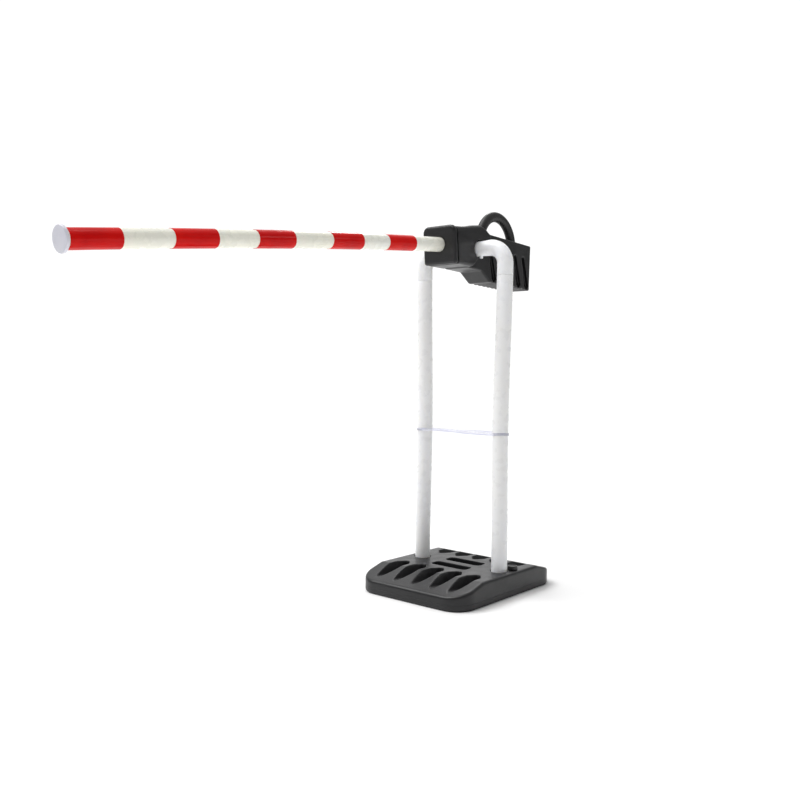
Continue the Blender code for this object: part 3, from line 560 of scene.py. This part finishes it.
base = {
    "cornerRadius": 0.045,
    "edgeRadius": 0.0048,
    "rampLength": 0.0745,
    "rampDrop": 0.0205,
    "scoops": 5,
    "scoopPitch": 0.045,
    "scoopWidth": 0.0345,
    "scoopStart": 0.066,
    "scoopMargin": 0.016,
    "scoopNose": 0.050,
    "scoopCorner": 0.009,
    "scoopFloor": 0.021,
    "scoopDraft": 0.50,
    "slotLength": 0.088,
    "slotWidth": 0.029,
    "slotCorner": 0.009,
    "slotOffset": 0.0245,
    "slotFloor": 0.018,
    "socketPlay": 0.0019,
    "recessPlay": 0.0006,
    "recessGap": 0.0003,
    "socketFloor": 0.008,
    "voxel": 0.00153,
    "passes": 2,
}

baseLow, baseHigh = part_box("base_shell")
baseMid = (baseLow + baseHigh) / 2
baseTop = baseHigh.z
halfLength = (baseHigh.x - baseLow.x) / 2
halfWidth = (baseHigh.y - baseLow.y) / 2
above = baseTop + 0.02  # where the straight cutters end
justAbove = baseTop + 0.0012  # where the leaning scoop walls end


def cornerPosts(x, halfAlong, halfAcross, corner):
    # the four rounded corners of a rectangle on the base's middle line
    return [
        (x + sideX * (halfAlong - corner), baseMid.y + sideY * (halfAcross - corner), corner, corner)
        for sideX in (-1, 1)
        for sideY in (-1, 1)
    ]


def buildBaseBlock(spec):
    corner = spec["cornerRadius"]
    posts = cornerPosts(baseMid.x, halfLength, halfWidth, corner)
    bm = hullOfPosts(posts, 0, baseTop, 64)
    for end in (-1, 1):
        crease = (baseMid.x + end * (halfLength - spec["rampLength"]), 0, baseTop)
        trim(bm, crease, (end * spec["rampDrop"] / spec["rampLength"], 0, 1))
    roundOff(bm, spec["edgeRadius"], 5, 50)
    return newObject("baseShell", bm)


def buildScoop(spec, end, y):
    tip = halfLength - spec["scoopMargin"]
    start = spec["scoopStart"]
    half = spec["scoopWidth"] / 2
    corner = spec["scoopCorner"]
    posts = [
        (tip - spec["scoopNose"], 0, spec["scoopNose"], half),
        (start + corner, half - corner, corner, corner),
        (start + corner, corner - half, corner, corner),
    ]
    bm = hullOfPosts(posts, 0, justAbove, 40)
    slope = spec["rampDrop"] / spec["rampLength"]
    tipHeight = baseTop - (spec["rampLength"] - spec["scoopMargin"]) * slope
    rise = (tipHeight - spec["scoopFloor"]) / (tip - start)
    trim(bm, (start, 0, spec["scoopFloor"]), (rise, 0, -1))
    for vert in bm.verts:  # walls lean in towards the floor
        if vert.co.z < justAbove - 0.0001:
            vert.co.y *= spec["scoopDraft"]
    spread(bm, Matrix.Translation((baseMid.x, y, 0)) @ Matrix.Diagonal((end, 1, 1, 1)))
    return newObject("scoopCutter", bm)


def buildSlot(spec, side):
    corner = spec["slotCorner"]
    x = baseMid.x + side * spec["slotOffset"]
    posts = cornerPosts(x, spec["slotWidth"] / 2, spec["slotLength"] / 2, corner)
    return newObject("slotCutter", hullOfPosts(posts, spec["slotFloor"], above))


def buildBase(spec):
    block = buildBaseBlock(spec)
    cutters = [buildSlot(spec, side) for side in (-1, 1)]
    for end in (-1, 1):
        for number in range(spec["scoops"]):
            y = (number - (spec["scoops"] - 1) / 2) * spec["scoopPitch"]
            cutters.append(buildScoop(spec, end, y))
    for side in ("left", "right"):
        low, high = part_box(f"upright_tube_{side}")
        reach = (high.x - low.x) / 2 + spec["socketPlay"]
        post = [(0, uprightFoot(side), reach, reach)]
        cutters.append(newObject("socketCutter", hullOfPosts(post, spec["socketFloor"], above, 48)))
    sealLow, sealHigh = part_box("plug_seal")
    sealMid = (sealLow + sealHigh) / 2
    reach = (sealHigh.x - sealLow.x) / 2 + spec["recessPlay"]
    recessFloor = sealLow.z - spec["recessGap"]
    recess = hullOfPosts([(sealMid.x, sealMid.y, reach, reach)], recessFloor, above, 40)
    cutters.append(newObject("recessCutter", recess))
    for cutter in cutters:
        combine(block, cutter)
    bm = soften(block, spec["voxel"], spec["passes"])
    dropCutters(cutters)
    bottom = [face for face in bm.faces if face.normal.z < -0.9999]
    rimVerts = {vert for face in bottom for vert in face.verts}
    bmesh.ops.dissolve_limit(
        bm,
        angle_limit=radians(0.2),
        verts=list(rimVerts),
        edges=list({edge for face in bottom for edge in face.edges}),
    )
    bmesh.ops.triangulate(bm, faces=[face for face in bm.faces if len(face.verts) > 4])
    finishMesh(block, bm, basePlastic)
    standsFor(block, "stand", "black_plastic", "base_shell")


def uprightFoot(side):
    # centre of an upright where it stands in the base
    co = [v.co for v in frame["nodes"][f"upright_tube_{side}"].data.vertices if v.co.z < baseTop - 0.001]
    return (min(c.y for c in co) + max(c.y for c in co)) / 2


buildBase(base)
print("base done")


# ---- filler plug

plug = {
    "rim": 0.0016,  # rounding of the cap's top edge
    "dish": 0.0007,
    "dishRadius": 0.0062,
    "dishFillet": 0.0004,
    "dishLip": 0.0003,
    "stem": 0.0059,
    "sealGap": 0.0002,
    "footEdge": 0.0005,
    "steps": 64,
}


def buildPlug(spec):
    low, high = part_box("filler_plug")
    mid = (low + high) / 2
    radius = (high.x - low.x) / 2
    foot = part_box("plug_seal")[1].z + spec["sealGap"]
    edge = spec["footEdge"]
    dish = spec["dishRadius"]
    fillet = spec["dishFillet"]
    lip = spec["dishLip"]
    dishFloor = high.z - spec["dish"]
    profile = [(0, dishFloor), (dish - 0.001, dishFloor)]
    profile += quarter(dish, dishFloor + fillet, fillet, -90, 0, 3)
    profile += quarter(dish + fillet + lip, high.z - lip, lip, 180, 90, 3)
    profile += quarter(radius - spec["rim"], high.z - spec["rim"], spec["rim"], 90, 0, 6)
    profile += quarter(radius - edge, foot + edge, edge, 0, -90, 3)
    stem = spec["stem"]
    profile += [(stem, foot), (stem, low.z + edge), (stem - edge, low.z), (0, low.z)]
    bm = turned(profile, spec["steps"], Matrix.Translation((mid.x, mid.y, 0)))
    piece = newObject("fillerPlug", bm, basePlastic, sharpAngle=50)
    standsFor(piece, "filler", "black_plastic", "filler_plug")


buildPlug(plug)


# ---- uprights, elbows, pegs and band

frameTubes = {
    "sides": 64,
    "wall": 0.0025,
    "edge": 0.0007,  # rounding at a cut end
    "bow": 0.0037,
    "splay": 0.003,
    "steps": 26,
    "elbowRadius": 0.034,
    "elbowSteps": 20,
    "journal": 0.015,
    "neckOut": 0.0071,  # from the head's side to where the tube starts to draw in
}

tubeRadius = (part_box("elbow_left")[1].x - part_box("elbow_left")[0].x) / 2
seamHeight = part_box("upright_tube_left")[1].z
footSpread = abs(uprightFoot("left"))


def uprightReach(height):
    # distance from the middle plane: splayed towards the top, drawn in by the band half way
    share = max(0, (height - baseTop) / (seamHeight - baseTop))
    return footSpread + frameTubes["splay"] * share - frameTubes["bow"] * sin(pi * share) ** 2


def buildUpright(spec, side):
    outward = 1 if side == "left" else -1
    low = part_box(f"upright_tube_{side}")[0].z
    edge = spec["edge"]
    heights = [low, low + edge * 0.3, low + edge]
    heights += [baseTop + (seamHeight - baseTop) * step / spec["steps"] for step in range(spec["steps"])]
    heights += [seamHeight - edge, seamHeight - edge * 0.3, seamHeight]
    shrink = [edge, edge * 0.3, 0] + [0] * spec["steps"] + [0, edge * 0.3, edge]
    path = [(0, outward * uprightReach(height), height) for height in heights]
    bm = sweep(path, [tubeRadius - less for less in shrink], spec["sides"], spec["wall"])
    piece = newObject(f"upright{side.capitalize()}", bm, tubePlastic, sharpAngle=50)
    standsFor(piece, "stand", "white_plastic", f"upright_tube_{side}")


def buildElbow(spec, side):
    outward = 1 if side == "left" else -1
    low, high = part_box(f"elbow_{side}")
    inner = min(abs(low.y), abs(high.y))
    radius = spec["elbowRadius"]
    journal = spec["journal"]
    edge = spec["edge"]
    topReach = uprightReach(seamHeight)
    path = [(0, outward * topReach, low.z + rise) for rise in (0, edge * 0.3, edge)]
    radii = [tubeRadius - edge, tubeRadius - edge * 0.3, tubeRadius]
    middle = Vector((0, topReach - radius, pivot.z - radius))
    for step in range(spec["elbowSteps"] + 1):
        angle = pi / 2 * step / spec["elbowSteps"]
        path.append((0, outward * (middle.y + radius * cos(angle)), middle.z + radius * sin(angle)))
        radii.append(tubeRadius)
    neck = headHalf + spec["neckOut"]
    for reach, size in ((neck, journal), (inner + edge, journal), (inner, journal - edge)):
        path.append((0, outward * reach, pivot.z))
        radii.append(size)
    bm = sweep(path, radii, spec["sides"], spec["wall"])
    piece = newObject(f"elbow{side.capitalize()}", bm, tubePlastic, sharpAngle=50)
    standsFor(piece, "stand", "white_plastic", f"elbow_{side}")


headHalf = (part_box("boom_collar")[1].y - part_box("boom_collar")[0].y) / 2
for side in ("left", "right"):
    buildUpright(frameTubes, side)
    buildElbow(frameTubes, side)

peg = {"edge": 0.0009, "topEdge": 0.0003, "steps": 32}


def buildPeg(spec, side):
    low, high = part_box(f"retaining_peg_{side}")
    mid = (low + high) / 2
    radius = (high.x - low.x) / 2
    edge = spec["edge"]
    topEdge = spec["topEdge"]
    profile = [(0, low.z)] + quarter(radius - edge, low.z + edge, edge, -90, 0, 4)
    profile += [(radius, high.z - topEdge), (radius - topEdge, high.z), (0, high.z)]
    bm = turned(profile, spec["steps"], Matrix.Translation((mid.x, mid.y, 0)))
    piece = newObject(f"peg{side.capitalize()}", bm, tubePlastic, sharpAngle=50)
    standsFor(piece, "stand", "white_plastic", f"retaining_peg_{side}")


for side in ("left", "right"):
    buildPeg(peg, side)

band = {
    "thickness": 0.0010,
    "twist": 0.0005,
    "arcSteps": 24,
    "straightSteps": 18,
    "sides": 16,
}


def buildBand(spec):
    low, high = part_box("tension_band")
    mid = (low + high) / 2
    thick = spec["thickness"] / 2
    wide = (high.z - low.z) / 2 - spec["twist"]
    radius = (high.x - low.x) / 2 - thick
    reach = (high.y - low.y) / 2 - thick - radius
    path = []
    for outward in (1, -1):
        for step in range(spec["arcSteps"] + 1):
            angle = pi * step / spec["arcSteps"] + (0 if outward > 0 else pi)
            wave = spec["twist"] * sin(2 * angle)
            path.append((mid.x + radius * cos(angle), outward * reach + radius * sin(angle), mid.z + wave))
        for step in range(1, spec["straightSteps"]):
            share = step / spec["straightSteps"]
            wave = spec["twist"] * sin(2 * pi * share)
            path.append((mid.x - outward * radius, outward * reach * (1 - 2 * share), mid.z + wave))
    bm = bmesh.new()
    bmesh.ops.create_circle(bm, segments=spec["sides"], radius=1)
    first = bm.edges[:]
    ring = first
    before = None
    for index, point in enumerate(path):
        heading = (Vector(path[(index + 1) % len(path)]) - Vector(path[index - 1])).normalized()
        across = up.cross(heading).normalized()
        turn = Matrix((across, heading.cross(across), heading)).transposed().to_4x4()
        here = Matrix.Translation(point) @ turn @ Matrix.Diagonal((thick, wide, 1, 1))
        if before is None:
            spread(bm, here)
        else:
            ring = grownRing(bm, ring, here @ before.inverted())
        before = here
    bmesh.ops.bridge_loops(bm, edges=first + ring)
    piece = newObject("tensionBand", bm, strapPlastic, sharpAngle=60)
    standsFor(piece, "stand", "clear_band", "tension_band")


buildBand(band)
print("stand done")


# ---- head, in its own frame: x along the resting boom, z up, the pivot at the origin

restTilt = radians(5)
armDrop = radians(7.2)
headFrame = Matrix.Translation(pivot) @ Matrix.Rotation(restTilt, 4, "Y").inverted()
armFrame = headFrame @ Matrix.Rotation(armDrop, 4, "Y")

head = {
    "voxel": 0.00125,
    "passes": 3,
    "front": 0.0725,
    "blockHeight": 0.14,  # before the top and bottom are cut to their slopes
    "frontTop": 0.0440,
    "frontBottom": -0.0305,
    "rear": 0.042,
    "rearTop": 0.0512,
    "rearBottom": -0.042,
    "topCorner": 0.012,
    "bottomCorner": 0.006,
    "cheekLow": (-0.0256, -0.0353),
    "cheekHigh": (0.0354, 0.0144),
    "shoulder": (0.0145, 0.0462),
    "shoulderFall": radians(33),
    "boreRadius": 0.018,
    "boreEnd": 0.0105,
    "boreReach": 0.06,
    "saddleDepth": 0.0028,
    "saddleRear": -0.014,
    "saddleAbove": 0.02,  # only the top is pressed in
    "saddleEdge": 0.003,
    "armHalf": 0.028,
    "armTop": 0.0393,
    "armBottom": -0.0402,
    "armRear": 0.212,
    "armFront": 0.026,
    "armEdge": 0.0020,
    "keelBottom": -0.0600,
    "keelFrontTop": 0.026,
    "keelFrontBottom": 0.058,
    "flutes": 5,
    "flutePitch": 0.0318,
    "fluteBeforeRear": 0.0125,
    "fluteTop": 0.011,
    "fluteAboveKeel": 0.003,
    "fluteTopWidth": 0.0124,
    "fluteBottomWidth": 0.0178,
    "fluteLean": radians(14),
    "fluteDepth": 0.0100,
    "fluteLip": 0.0028,  # wall left in front of each flute's wider inside
    "fluteWiden": 0.0045,
    "rearFluteWiden": 0.002,  # so the rear wall stays whole
    "fluteMouth": 0.004,
    "ribs": 9,  # shallow cross grooves under the keel
    "ribPitch": 0.0159,
    "ribRadius": 0.0070,
    "ribDepth": 0.0024,
    "ribReach": 0.04,
    "boltSpread": 0.020,
}


def plate(outline, low, high, matrix):
    # a flat outline in x and z, given its thickness along y
    bm = bmesh.new()
    corners = [bm.verts.new((x, low, z)) for x, z in outline]
    face = bmesh.ops.contextual_create(bm, geom=corners)["faces"][0]
    grown = bmesh.ops.extrude_face_region(bm, geom=[face])
    moved = [g for g in grown["geom"] if isinstance(g, bmesh.types.BMVert)]
    bmesh.ops.translate(bm, verts=moved, vec=(0, high - low, 0))
    bmesh.ops.recalc_face_normals(bm, faces=bm.faces[:])
    return spread(bm, matrix)


def arcPoints(middle, radius, start, end, steps):
    return [
        (
            middle[0] + radius * cos(radians(start + (end - start) * step / steps)),
            middle[1] + radius * sin(radians(start + (end - start) * step / steps)),
        )
        for step in range(steps + 1)
    ]


def buildFrontBlock(spec):
    bm = bmesh.new()
    bmesh.ops.create_cube(bm, size=1)
    run = spec["front"] + spec["rear"]
    size = Matrix.Diagonal((run, 2 * headHalf, spec["blockHeight"], 1))
    spread(bm, Matrix.Translation(((spec["rear"] - spec["front"]) / 2, 0, 0)) @ size)
    topRise = (spec["rearTop"] - spec["frontTop"]) / run
    bottomRise = (spec["rearBottom"] - spec["frontBottom"]) / run
    trim(bm, (-spec["front"], 0, spec["frontTop"]), (-topRise, 0, 1))
    trim(bm, (-spec["front"], 0, spec["frontBottom"]), (bottomRise, 0, -1))
    bm.normal_update()
    roundOff(bm, spec["topCorner"], 8, 60, lambda edge: lengthwise(edge) and middleOf(edge).z > 0)
    roundOff(bm, spec["bottomCorner"], 6, 60, lambda edge: lengthwise(edge) and middleOf(edge).z < 0)
    lowX, lowZ = spec["cheekLow"]
    highX, highZ = spec["cheekHigh"]
    trim(bm, (lowX, 0, lowZ), (highZ - lowZ, 0, lowX - highX))
    shoulderX, shoulderZ = spec["shoulder"]
    trim(bm, (shoulderX, 0, shoulderZ), (sin(spec["shoulderFall"]), 0, cos(spec["shoulderFall"])))
    spread(bm, headFrame)
    return newObject("headBody", bm)


def lengthwise(edge):
    run = edge.verts[1].co - edge.verts[0].co
    return abs(run.x) > 0.9 * run.length


def middleOf(edge):
    return (edge.verts[0].co + edge.verts[1].co) / 2


def buildArmBlock(spec):
    outline = [
        (-spec["armFront"], spec["armTop"]),
        (-spec["armFront"], spec["armBottom"]),
        (spec["keelFrontTop"], spec["armBottom"]),
        (spec["keelFrontBottom"], spec["keelBottom"]),
        (spec["armRear"], spec["keelBottom"]),
        (spec["armRear"], spec["armTop"]),
    ]
    bm = plate(outline, -spec["armHalf"], spec["armHalf"], Matrix.Identity(4))
    roundOff(bm, spec["armEdge"], 5, 20)
    spread(bm, armFrame)
    return newObject("armBlock", bm)


def buildFlute(spec, number, side, widen, mouth):
    # a raked hollow in the arm's flank, wider at the bottom, and wider still behind its lip
    bottom = spec["keelBottom"] + spec["fluteAboveKeel"]
    lowHalf = spec["fluteBottomWidth"] / 2 + widen
    highHalf = spec["fluteTopWidth"] / 2 + widen
    lowX = spec["armRear"] - spec["fluteBeforeRear"] - number * spec["flutePitch"]
    highX = lowX - (spec["fluteTop"] - bottom) * tan(spec["fluteLean"])
    outline = arcPoints((highX, spec["fluteTop"] - highHalf), highHalf, 15, 165, 8)
    outline += arcPoints((lowX, bottom + lowHalf), lowHalf, 190, 350, 8)
    floor = spec["armHalf"] - spec["fluteDepth"]
    low, high = sorted((side * floor, side * (spec["armHalf"] + mouth)))
    return newObject("fluteCutter", plate(outline, low, high, armFrame))


def buildHead(spec):
    body = buildFrontBlock(spec)
    arm = buildArmBlock(spec)
    combine(body, arm, "UNION")
    cutters = []
    for side in (-1, 1):
        for number in range(spec["flutes"]):
            cutters.append(buildFlute(spec, number, side, 0, spec["fluteMouth"]))
            widen = spec["fluteWiden"] if number else spec["rearFluteWiden"]
            cutters.append(buildFlute(spec, number, side, widen, -spec["fluteLip"]))
        low, high = sorted((side * spec["boreEnd"], side * spec["boreReach"]))
        outline = arcPoints((0, 0), spec["boreRadius"], 0, 350, 35)
        cutters.append(newObject("boreCutter", plate(outline, low, high, headFrame)))
    for number in range(spec["ribs"]):
        x = spec["armRear"] - spec["fluteBeforeRear"] - number * spec["ribPitch"]
        middle = (x, spec["keelBottom"] + spec["ribDepth"] - spec["ribRadius"])
        outline = arcPoints(middle, spec["ribRadius"], 0, 345, 23)
        cutters.append(newObject("ribCutter", plate(outline, -spec["ribReach"], spec["ribReach"], armFrame)))
    for cutter in cutters:
        combine(body, cutter)
    bm = soften(body, spec["voxel"], spec["passes"])
    dropCutters([arm] + cutters)
    saddle(bm, spec)
    finishMesh(body, bm, headPlastic)
    standsFor(body, "boom_arm", "black_plastic", "head_body")


def saddle(bm, spec):
    # the shallow dip in the top, between the groove and the shoulder
    spread(bm, headFrame.inverted())
    length = spec["saddleRear"] + spec["front"]
    for vert in bm.verts:
        along = (vert.co.x + spec["front"]) / length
        if vert.co.z > spec["saddleAbove"] and 0 < along < 1:
            across = max(0, 1 - (vert.co.y / (headHalf - spec["saddleEdge"])) ** 4)
            vert.co.z -= spec["saddleDepth"] * sin(pi * along) ** 2 * across
    spread(bm, headFrame)


buildHead(head)
print("head done")


# ---- collar in front of the head

collar = {
    "voxel": 0.0009,
    "passes": 3,
    "groove": 0.003,
    "thickness": 0.0095,
    "top": 0.0465,
    "bottom": -0.030,
    "topCorner": 0.013,
    "bottomCorner": 0.006,
    "frontEdge": 0.0066,
    "backEdge": 0.0014,
    "neckInset": 0.0042,
    "neckCorners": (0.004, 0.008),  # bottom and top
    "neckBack": 0.004,
    "neckFront": 0.002,
    "boomRise": 0.0097,
    "boomGap": 0.0006,
    "boreMargin": 0.01,
}

collarBack = -head["front"] - collar["groove"]
collarFront = collarBack - collar["thickness"]


def roundedOutline(half, bottom, top, bottomCorner, topCorner, steps=10):
    points = arcPoints((half - topCorner, top - topCorner), topCorner, 0, 90, steps)
    points += arcPoints((topCorner - half, top - topCorner), topCorner, 90, 180, steps)
    points += arcPoints((bottomCorner - half, bottom + bottomCorner), bottomCorner, 180, 270, steps)
    points += arcPoints((half - bottomCorner, bottom + bottomCorner), bottomCorner, 270, 360, steps)
    return points


def buildCollar(spec):
    facing = Matrix.Rotation(pi / 2, 4, "Z")  # plate outlines lie across the boom: x to y, y to -x
    corners = (spec["bottomCorner"], spec["topCorner"])
    outline = roundedOutline(headHalf, spec["bottom"], spec["top"], *corners)
    bm = plate(outline, -collarBack, -collarFront, facing)
    bm.normal_update()
    near = 0.0005  # how close to a face an edge counts as on it
    roundOff(bm, spec["frontEdge"], 7, 60, lambda edge: middleOf(edge).x < collarFront + near)
    roundOff(bm, spec["backEdge"], 3, 60, lambda edge: middleOf(edge).x > collarBack - near)
    spread(bm, headFrame)
    piece = newObject("boomCollar", bm)
    inset = spec["neckInset"]
    bottom = head["frontBottom"] + inset
    outline = roundedOutline(headHalf - inset, bottom, head["frontTop"] - inset, *spec["neckCorners"])
    low = -collarBack - spec["neckBack"]
    high = -collarBack + spec["neckFront"]
    neck = newObject("neck", plate(outline, low, high, headFrame @ facing))
    combine(piece, neck, "UNION")
    outline = arcPoints((0, spec["boomRise"]), boomRadius + spec["boomGap"], 0, 352.5, 47)
    low = -collarBack - spec["boreMargin"]
    high = -collarFront + spec["boreMargin"]
    bore = newObject("boomBore", plate(outline, low, high, headFrame @ facing))
    combine(piece, bore)
    bm = soften(piece, spec["voxel"], spec["passes"])
    dropCutters([neck, bore])
    finishMesh(piece, bm, headPlastic)
    standsFor(piece, "boom_arm", "black_plastic", "boom_collar")


# ---- boom, its tape and its end cap

boom = {
    "radius": 0.01425,
    "wall": 0.0018,
    "reach": 0.787,
    "sag": 0.0172,
    "inserted": 0.050,
    "steps": 40,
    "sides": 64,
    "edge": 0.0005,
}
boomRadius = boom["radius"]


def boomPoint(distance):
    # centre line, measured out from the collar's front face
    out = max(0, distance / boom["reach"])
    return Vector((collarFront - distance, 0, collar["boomRise"] - boom["sag"] * out**2))


def buildBoom(spec):
    distances = [-spec["inserted"], -0.001]
    distances += [spec["reach"] * step / spec["steps"] for step in range(spec["steps"] + 1)]
    path = [boomPoint(distance) for distance in distances]
    bm = sweep(path, [spec["radius"]] * len(path), spec["sides"], spec["wall"])
    spread(bm, headFrame)
    piece = newObject("boomTube", bm, boomPlastic, sharpAngle=50)
    standsFor(piece, "boom_arm", "white_plastic", "boom_tube")


buildBoom(boom)
buildCollar(collar)

tape = {
    "length": 0.0765,
    "lift": 0.0008,  # outer surface above the boom
    "glue": 0.00005,
    "bareAtCollar": 0.0850,
    "bareAtTip": 0.0032,
    "shifts": (0, -0.0095, -0.0020, -0.0035, 0),
    "steps": 30,
    "sides": 96,
    "overlapStart": radians(200),  # where the tape's end lies on itself
    "overlapWidth": radians(38),
    "overlapLift": 0.00022,
    "wrinkles": (0.00008, 0.00010, 0.00030, 0.00012, 0.00008),
}


def tapeMiddle(spec, number):
    first = spec["bareAtCollar"] + spec["length"] / 2
    last = boom["reach"] - spec["bareAtTip"] - spec["length"] / 2
    return first + (last - first) * number / (len(spec["shifts"]) - 1) + spec["shifts"][number]


def buildTape(spec, number):
    middle = tapeMiddle(spec, number)
    start = middle - spec["length"] / 2
    end = start + spec["length"]
    outer = boomRadius + spec["lift"] - spec["overlapLift"]
    skin = outer - boomRadius - spec["glue"]
    distances = [start + spec["length"] * step / spec["steps"] for step in range(spec["steps"] + 1)]
    path = [boomPoint(distance) for distance in distances]
    bm = sweep(path, [outer] * len(path), spec["sides"], skin, heading=boomPoint(end) - boomPoint(start))
    for vert in bm.verts:
        distance = collarFront - vert.co.x
        centre = boomPoint(distance)
        arm = vert.co - centre
        arm.x = 0
        if arm.length < outer - skin / 2:
            continue
        angle = atan2(arm.z, arm.y) % (2 * pi)
        away = (angle - spec["overlapStart"]) % (2 * pi)
        lift = spec["overlapLift"] if away < spec["overlapWidth"] else 0
        share = (distance - start) / spec["length"]
        fold = sin(34 * share + 5 * sin(2 * angle + number)) * sin(7 * angle + 9 * share + 2 * number)
        patch = sin(pi * share) ** 2 * max(0, sin(2.5 * angle + 1.7 * number))
        lift += spec["wrinkles"][number] * max(0, fold) ** 3 * patch
        vert.co += arm.normalized() * lift
    spread(bm, headFrame)
    piece = newObject(f"redBand{number + 1}", bm, redTape, weld=0.0000005, sharpAngle=45)
    standsFor(piece, "boom_arm", "red_tape", f"red_band_{number + 1}")


for number in range(len(tape["shifts"])):
    buildTape(tape, number)

endCap = {
    "radius": 0.019,
    "flange": 0.0055,
    "rim": 0.0021,
    "backEdge": 0.0007,
    "crown": 0.0006,
    "plugLength": 0.022,
    "plugPlay": 0.0003,
    "plugEdge": 0.001,
    "seat": 0.0003,  # between the flange and the boom's end
    "steps": 96,
}


def buildEndCap(spec):
    radius = spec["radius"]
    top = spec["flange"]
    plugRadius = boomRadius - boom["wall"] - spec["plugPlay"]
    seat = spec["seat"]
    crown = [(radius * share, top - spec["crown"] * share**2) for share in (0, 0.25, 0.5, 0.7)]
    rim = quarter(radius - spec["rim"], top - spec["crown"] - spec["rim"], spec["rim"], 84, 0, 8)
    back = quarter(radius - spec["backEdge"], seat + spec["backEdge"], spec["backEdge"], 0, -90, 3)
    profile = crown + rim + back
    end = -spec["plugLength"]
    profile += [(plugRadius, seat), (plugRadius, end + spec["plugEdge"])]
    profile += [(plugRadius - spec["plugEdge"], end), (0, end)]
    slope = 2 * boom["sag"] / boom["reach"]
    axis = Matrix.Translation(boomPoint(boom["reach"])) @ Matrix.Rotation(-pi / 2 - slope, 4, "Y")
    bm = turned(profile, spec["steps"], headFrame @ axis)
    piece = newObject("boomEndCap", bm, capPlastic, sharpAngle=50)
    standsFor(piece, "boom_arm", "white_plastic", "boom_end_cap")


buildEndCap(endCap)
print("boom done")


# ---- loop handle

handle = {
    "thickness": 0.0108,  # half, along the loop's plane
    "halfWidth": 0.0096,
    "loopRadius": 0.0597,
    "centre": 0.1150,
    "belowTop": 0.0104,
    "sunk": 0.016,
    "steps": 60,
    "sides": 40,
}


def buildHandle(spec):
    foot = head["armTop"] - spec["sunk"]
    height = head["armTop"] - spec["belowTop"]
    centre = spec["centre"]
    radius = spec["loopRadius"]
    loop = arcPoints((centre, height), radius, 0, 180, spec["steps"])
    path = [(centre + radius, 0, foot)] + [(x, 0, z) for x, z in loop] + [(centre - radius, 0, foot)]
    bm = sweep(path, [spec["thickness"]] * len(path), spec["sides"])
    spread(bm, armFrame @ Matrix.Diagonal((1, spec["halfWidth"] / spec["thickness"], 1, 1)))
    piece = newObject("liftHandle", bm, handlePlastic, sharpAngle=50)
    standsFor(piece, "boom_arm", "handle_black", "lift_handle")


buildHandle(handle)


# ---- counterweight bolts

bolt = {
    "headHeight": 0.003,
    "headRadius": 0.0045,
    "headEdge": 0.0012,
    "socket": 0.0021,
    "socketDepth": 0.0019,
    "shank": 0.0025,
    "seatGap": 0.0003,
    "aboveKeel": 0.0213,  # to the middle of the counterweight
    "steps": 48,
}


def buildBolt(spec, side):
    # modelled along z with the head's seat at zero, then laid along the arm
    low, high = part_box(f"counterweight_bolt_{side}")
    seat = head["armRear"] + spec["seatGap"]
    top = spec["headHeight"]
    radius = spec["headRadius"]
    length = (high.x - low.x) / cos(restTilt - armDrop) - top
    profile = [(0, top), (radius - spec["headEdge"], top)]
    profile += quarter(radius - spec["headEdge"], top - spec["headEdge"], spec["headEdge"], 80, 0, 6)
    profile += [(radius, 0), (spec["shank"], 0), (spec["shank"], -length), (0, -length)]
    boltZ = head["keelBottom"] + spec["aboveKeel"]
    outward = 1 if side == "left" else -1
    spot = Matrix.Translation((seat, outward * head["boltSpread"] / 2, boltZ))
    laid = armFrame @ spot @ Matrix.Rotation(pi / 2, 4, "Y")
    bm = turned(profile, spec["steps"], Matrix.Identity(4))
    piece = newObject(f"weightBolt{side.capitalize()}", bm, pinSteel, sharpAngle=40)
    key = bmesh.new()
    socket = spec["socket"]
    depth = 2 * top
    bmesh.ops.create_cone(key, cap_ends=True, segments=6, radius1=socket, radius2=socket, depth=depth)
    spread(key, Matrix.Translation((0, 0, top - spec["socketDepth"] + depth / 2)))
    keyCutter = newObject("keyCutter", key)
    combine(piece, keyCutter)
    applied(piece)
    dropCutters([keyCutter])
    piece.data.transform(laid)
    standsFor(piece, "boom_arm", "steel", f"counterweight_bolt_{side}")


for side in ("left", "right"):
    buildBolt(bolt, side)


# ---- finishes of the hidden parts that keep their own meshes

keptFinishes = {
    "ballast_fill": sandFill,
    "coupler_left": tubePlastic,
    "coupler_right": tubePlastic,
    "plug_seal": sealRubber,
    "boom_cross_pin": pinSteel,
    "counterweight": castIron,
    "handle_pin_front": pinSteel,
    "handle_pin_rear": pinSteel,
    "pivot_bush_left": capPlastic,
    "pivot_bush_right": capPlastic,
    "swing_stop_pin": pinSteel,
}

for name, finish in keptFinishes.items():
    for place in frame["nodes"][name].material_slots:
        place.material = finish
print("hidden parts finished")
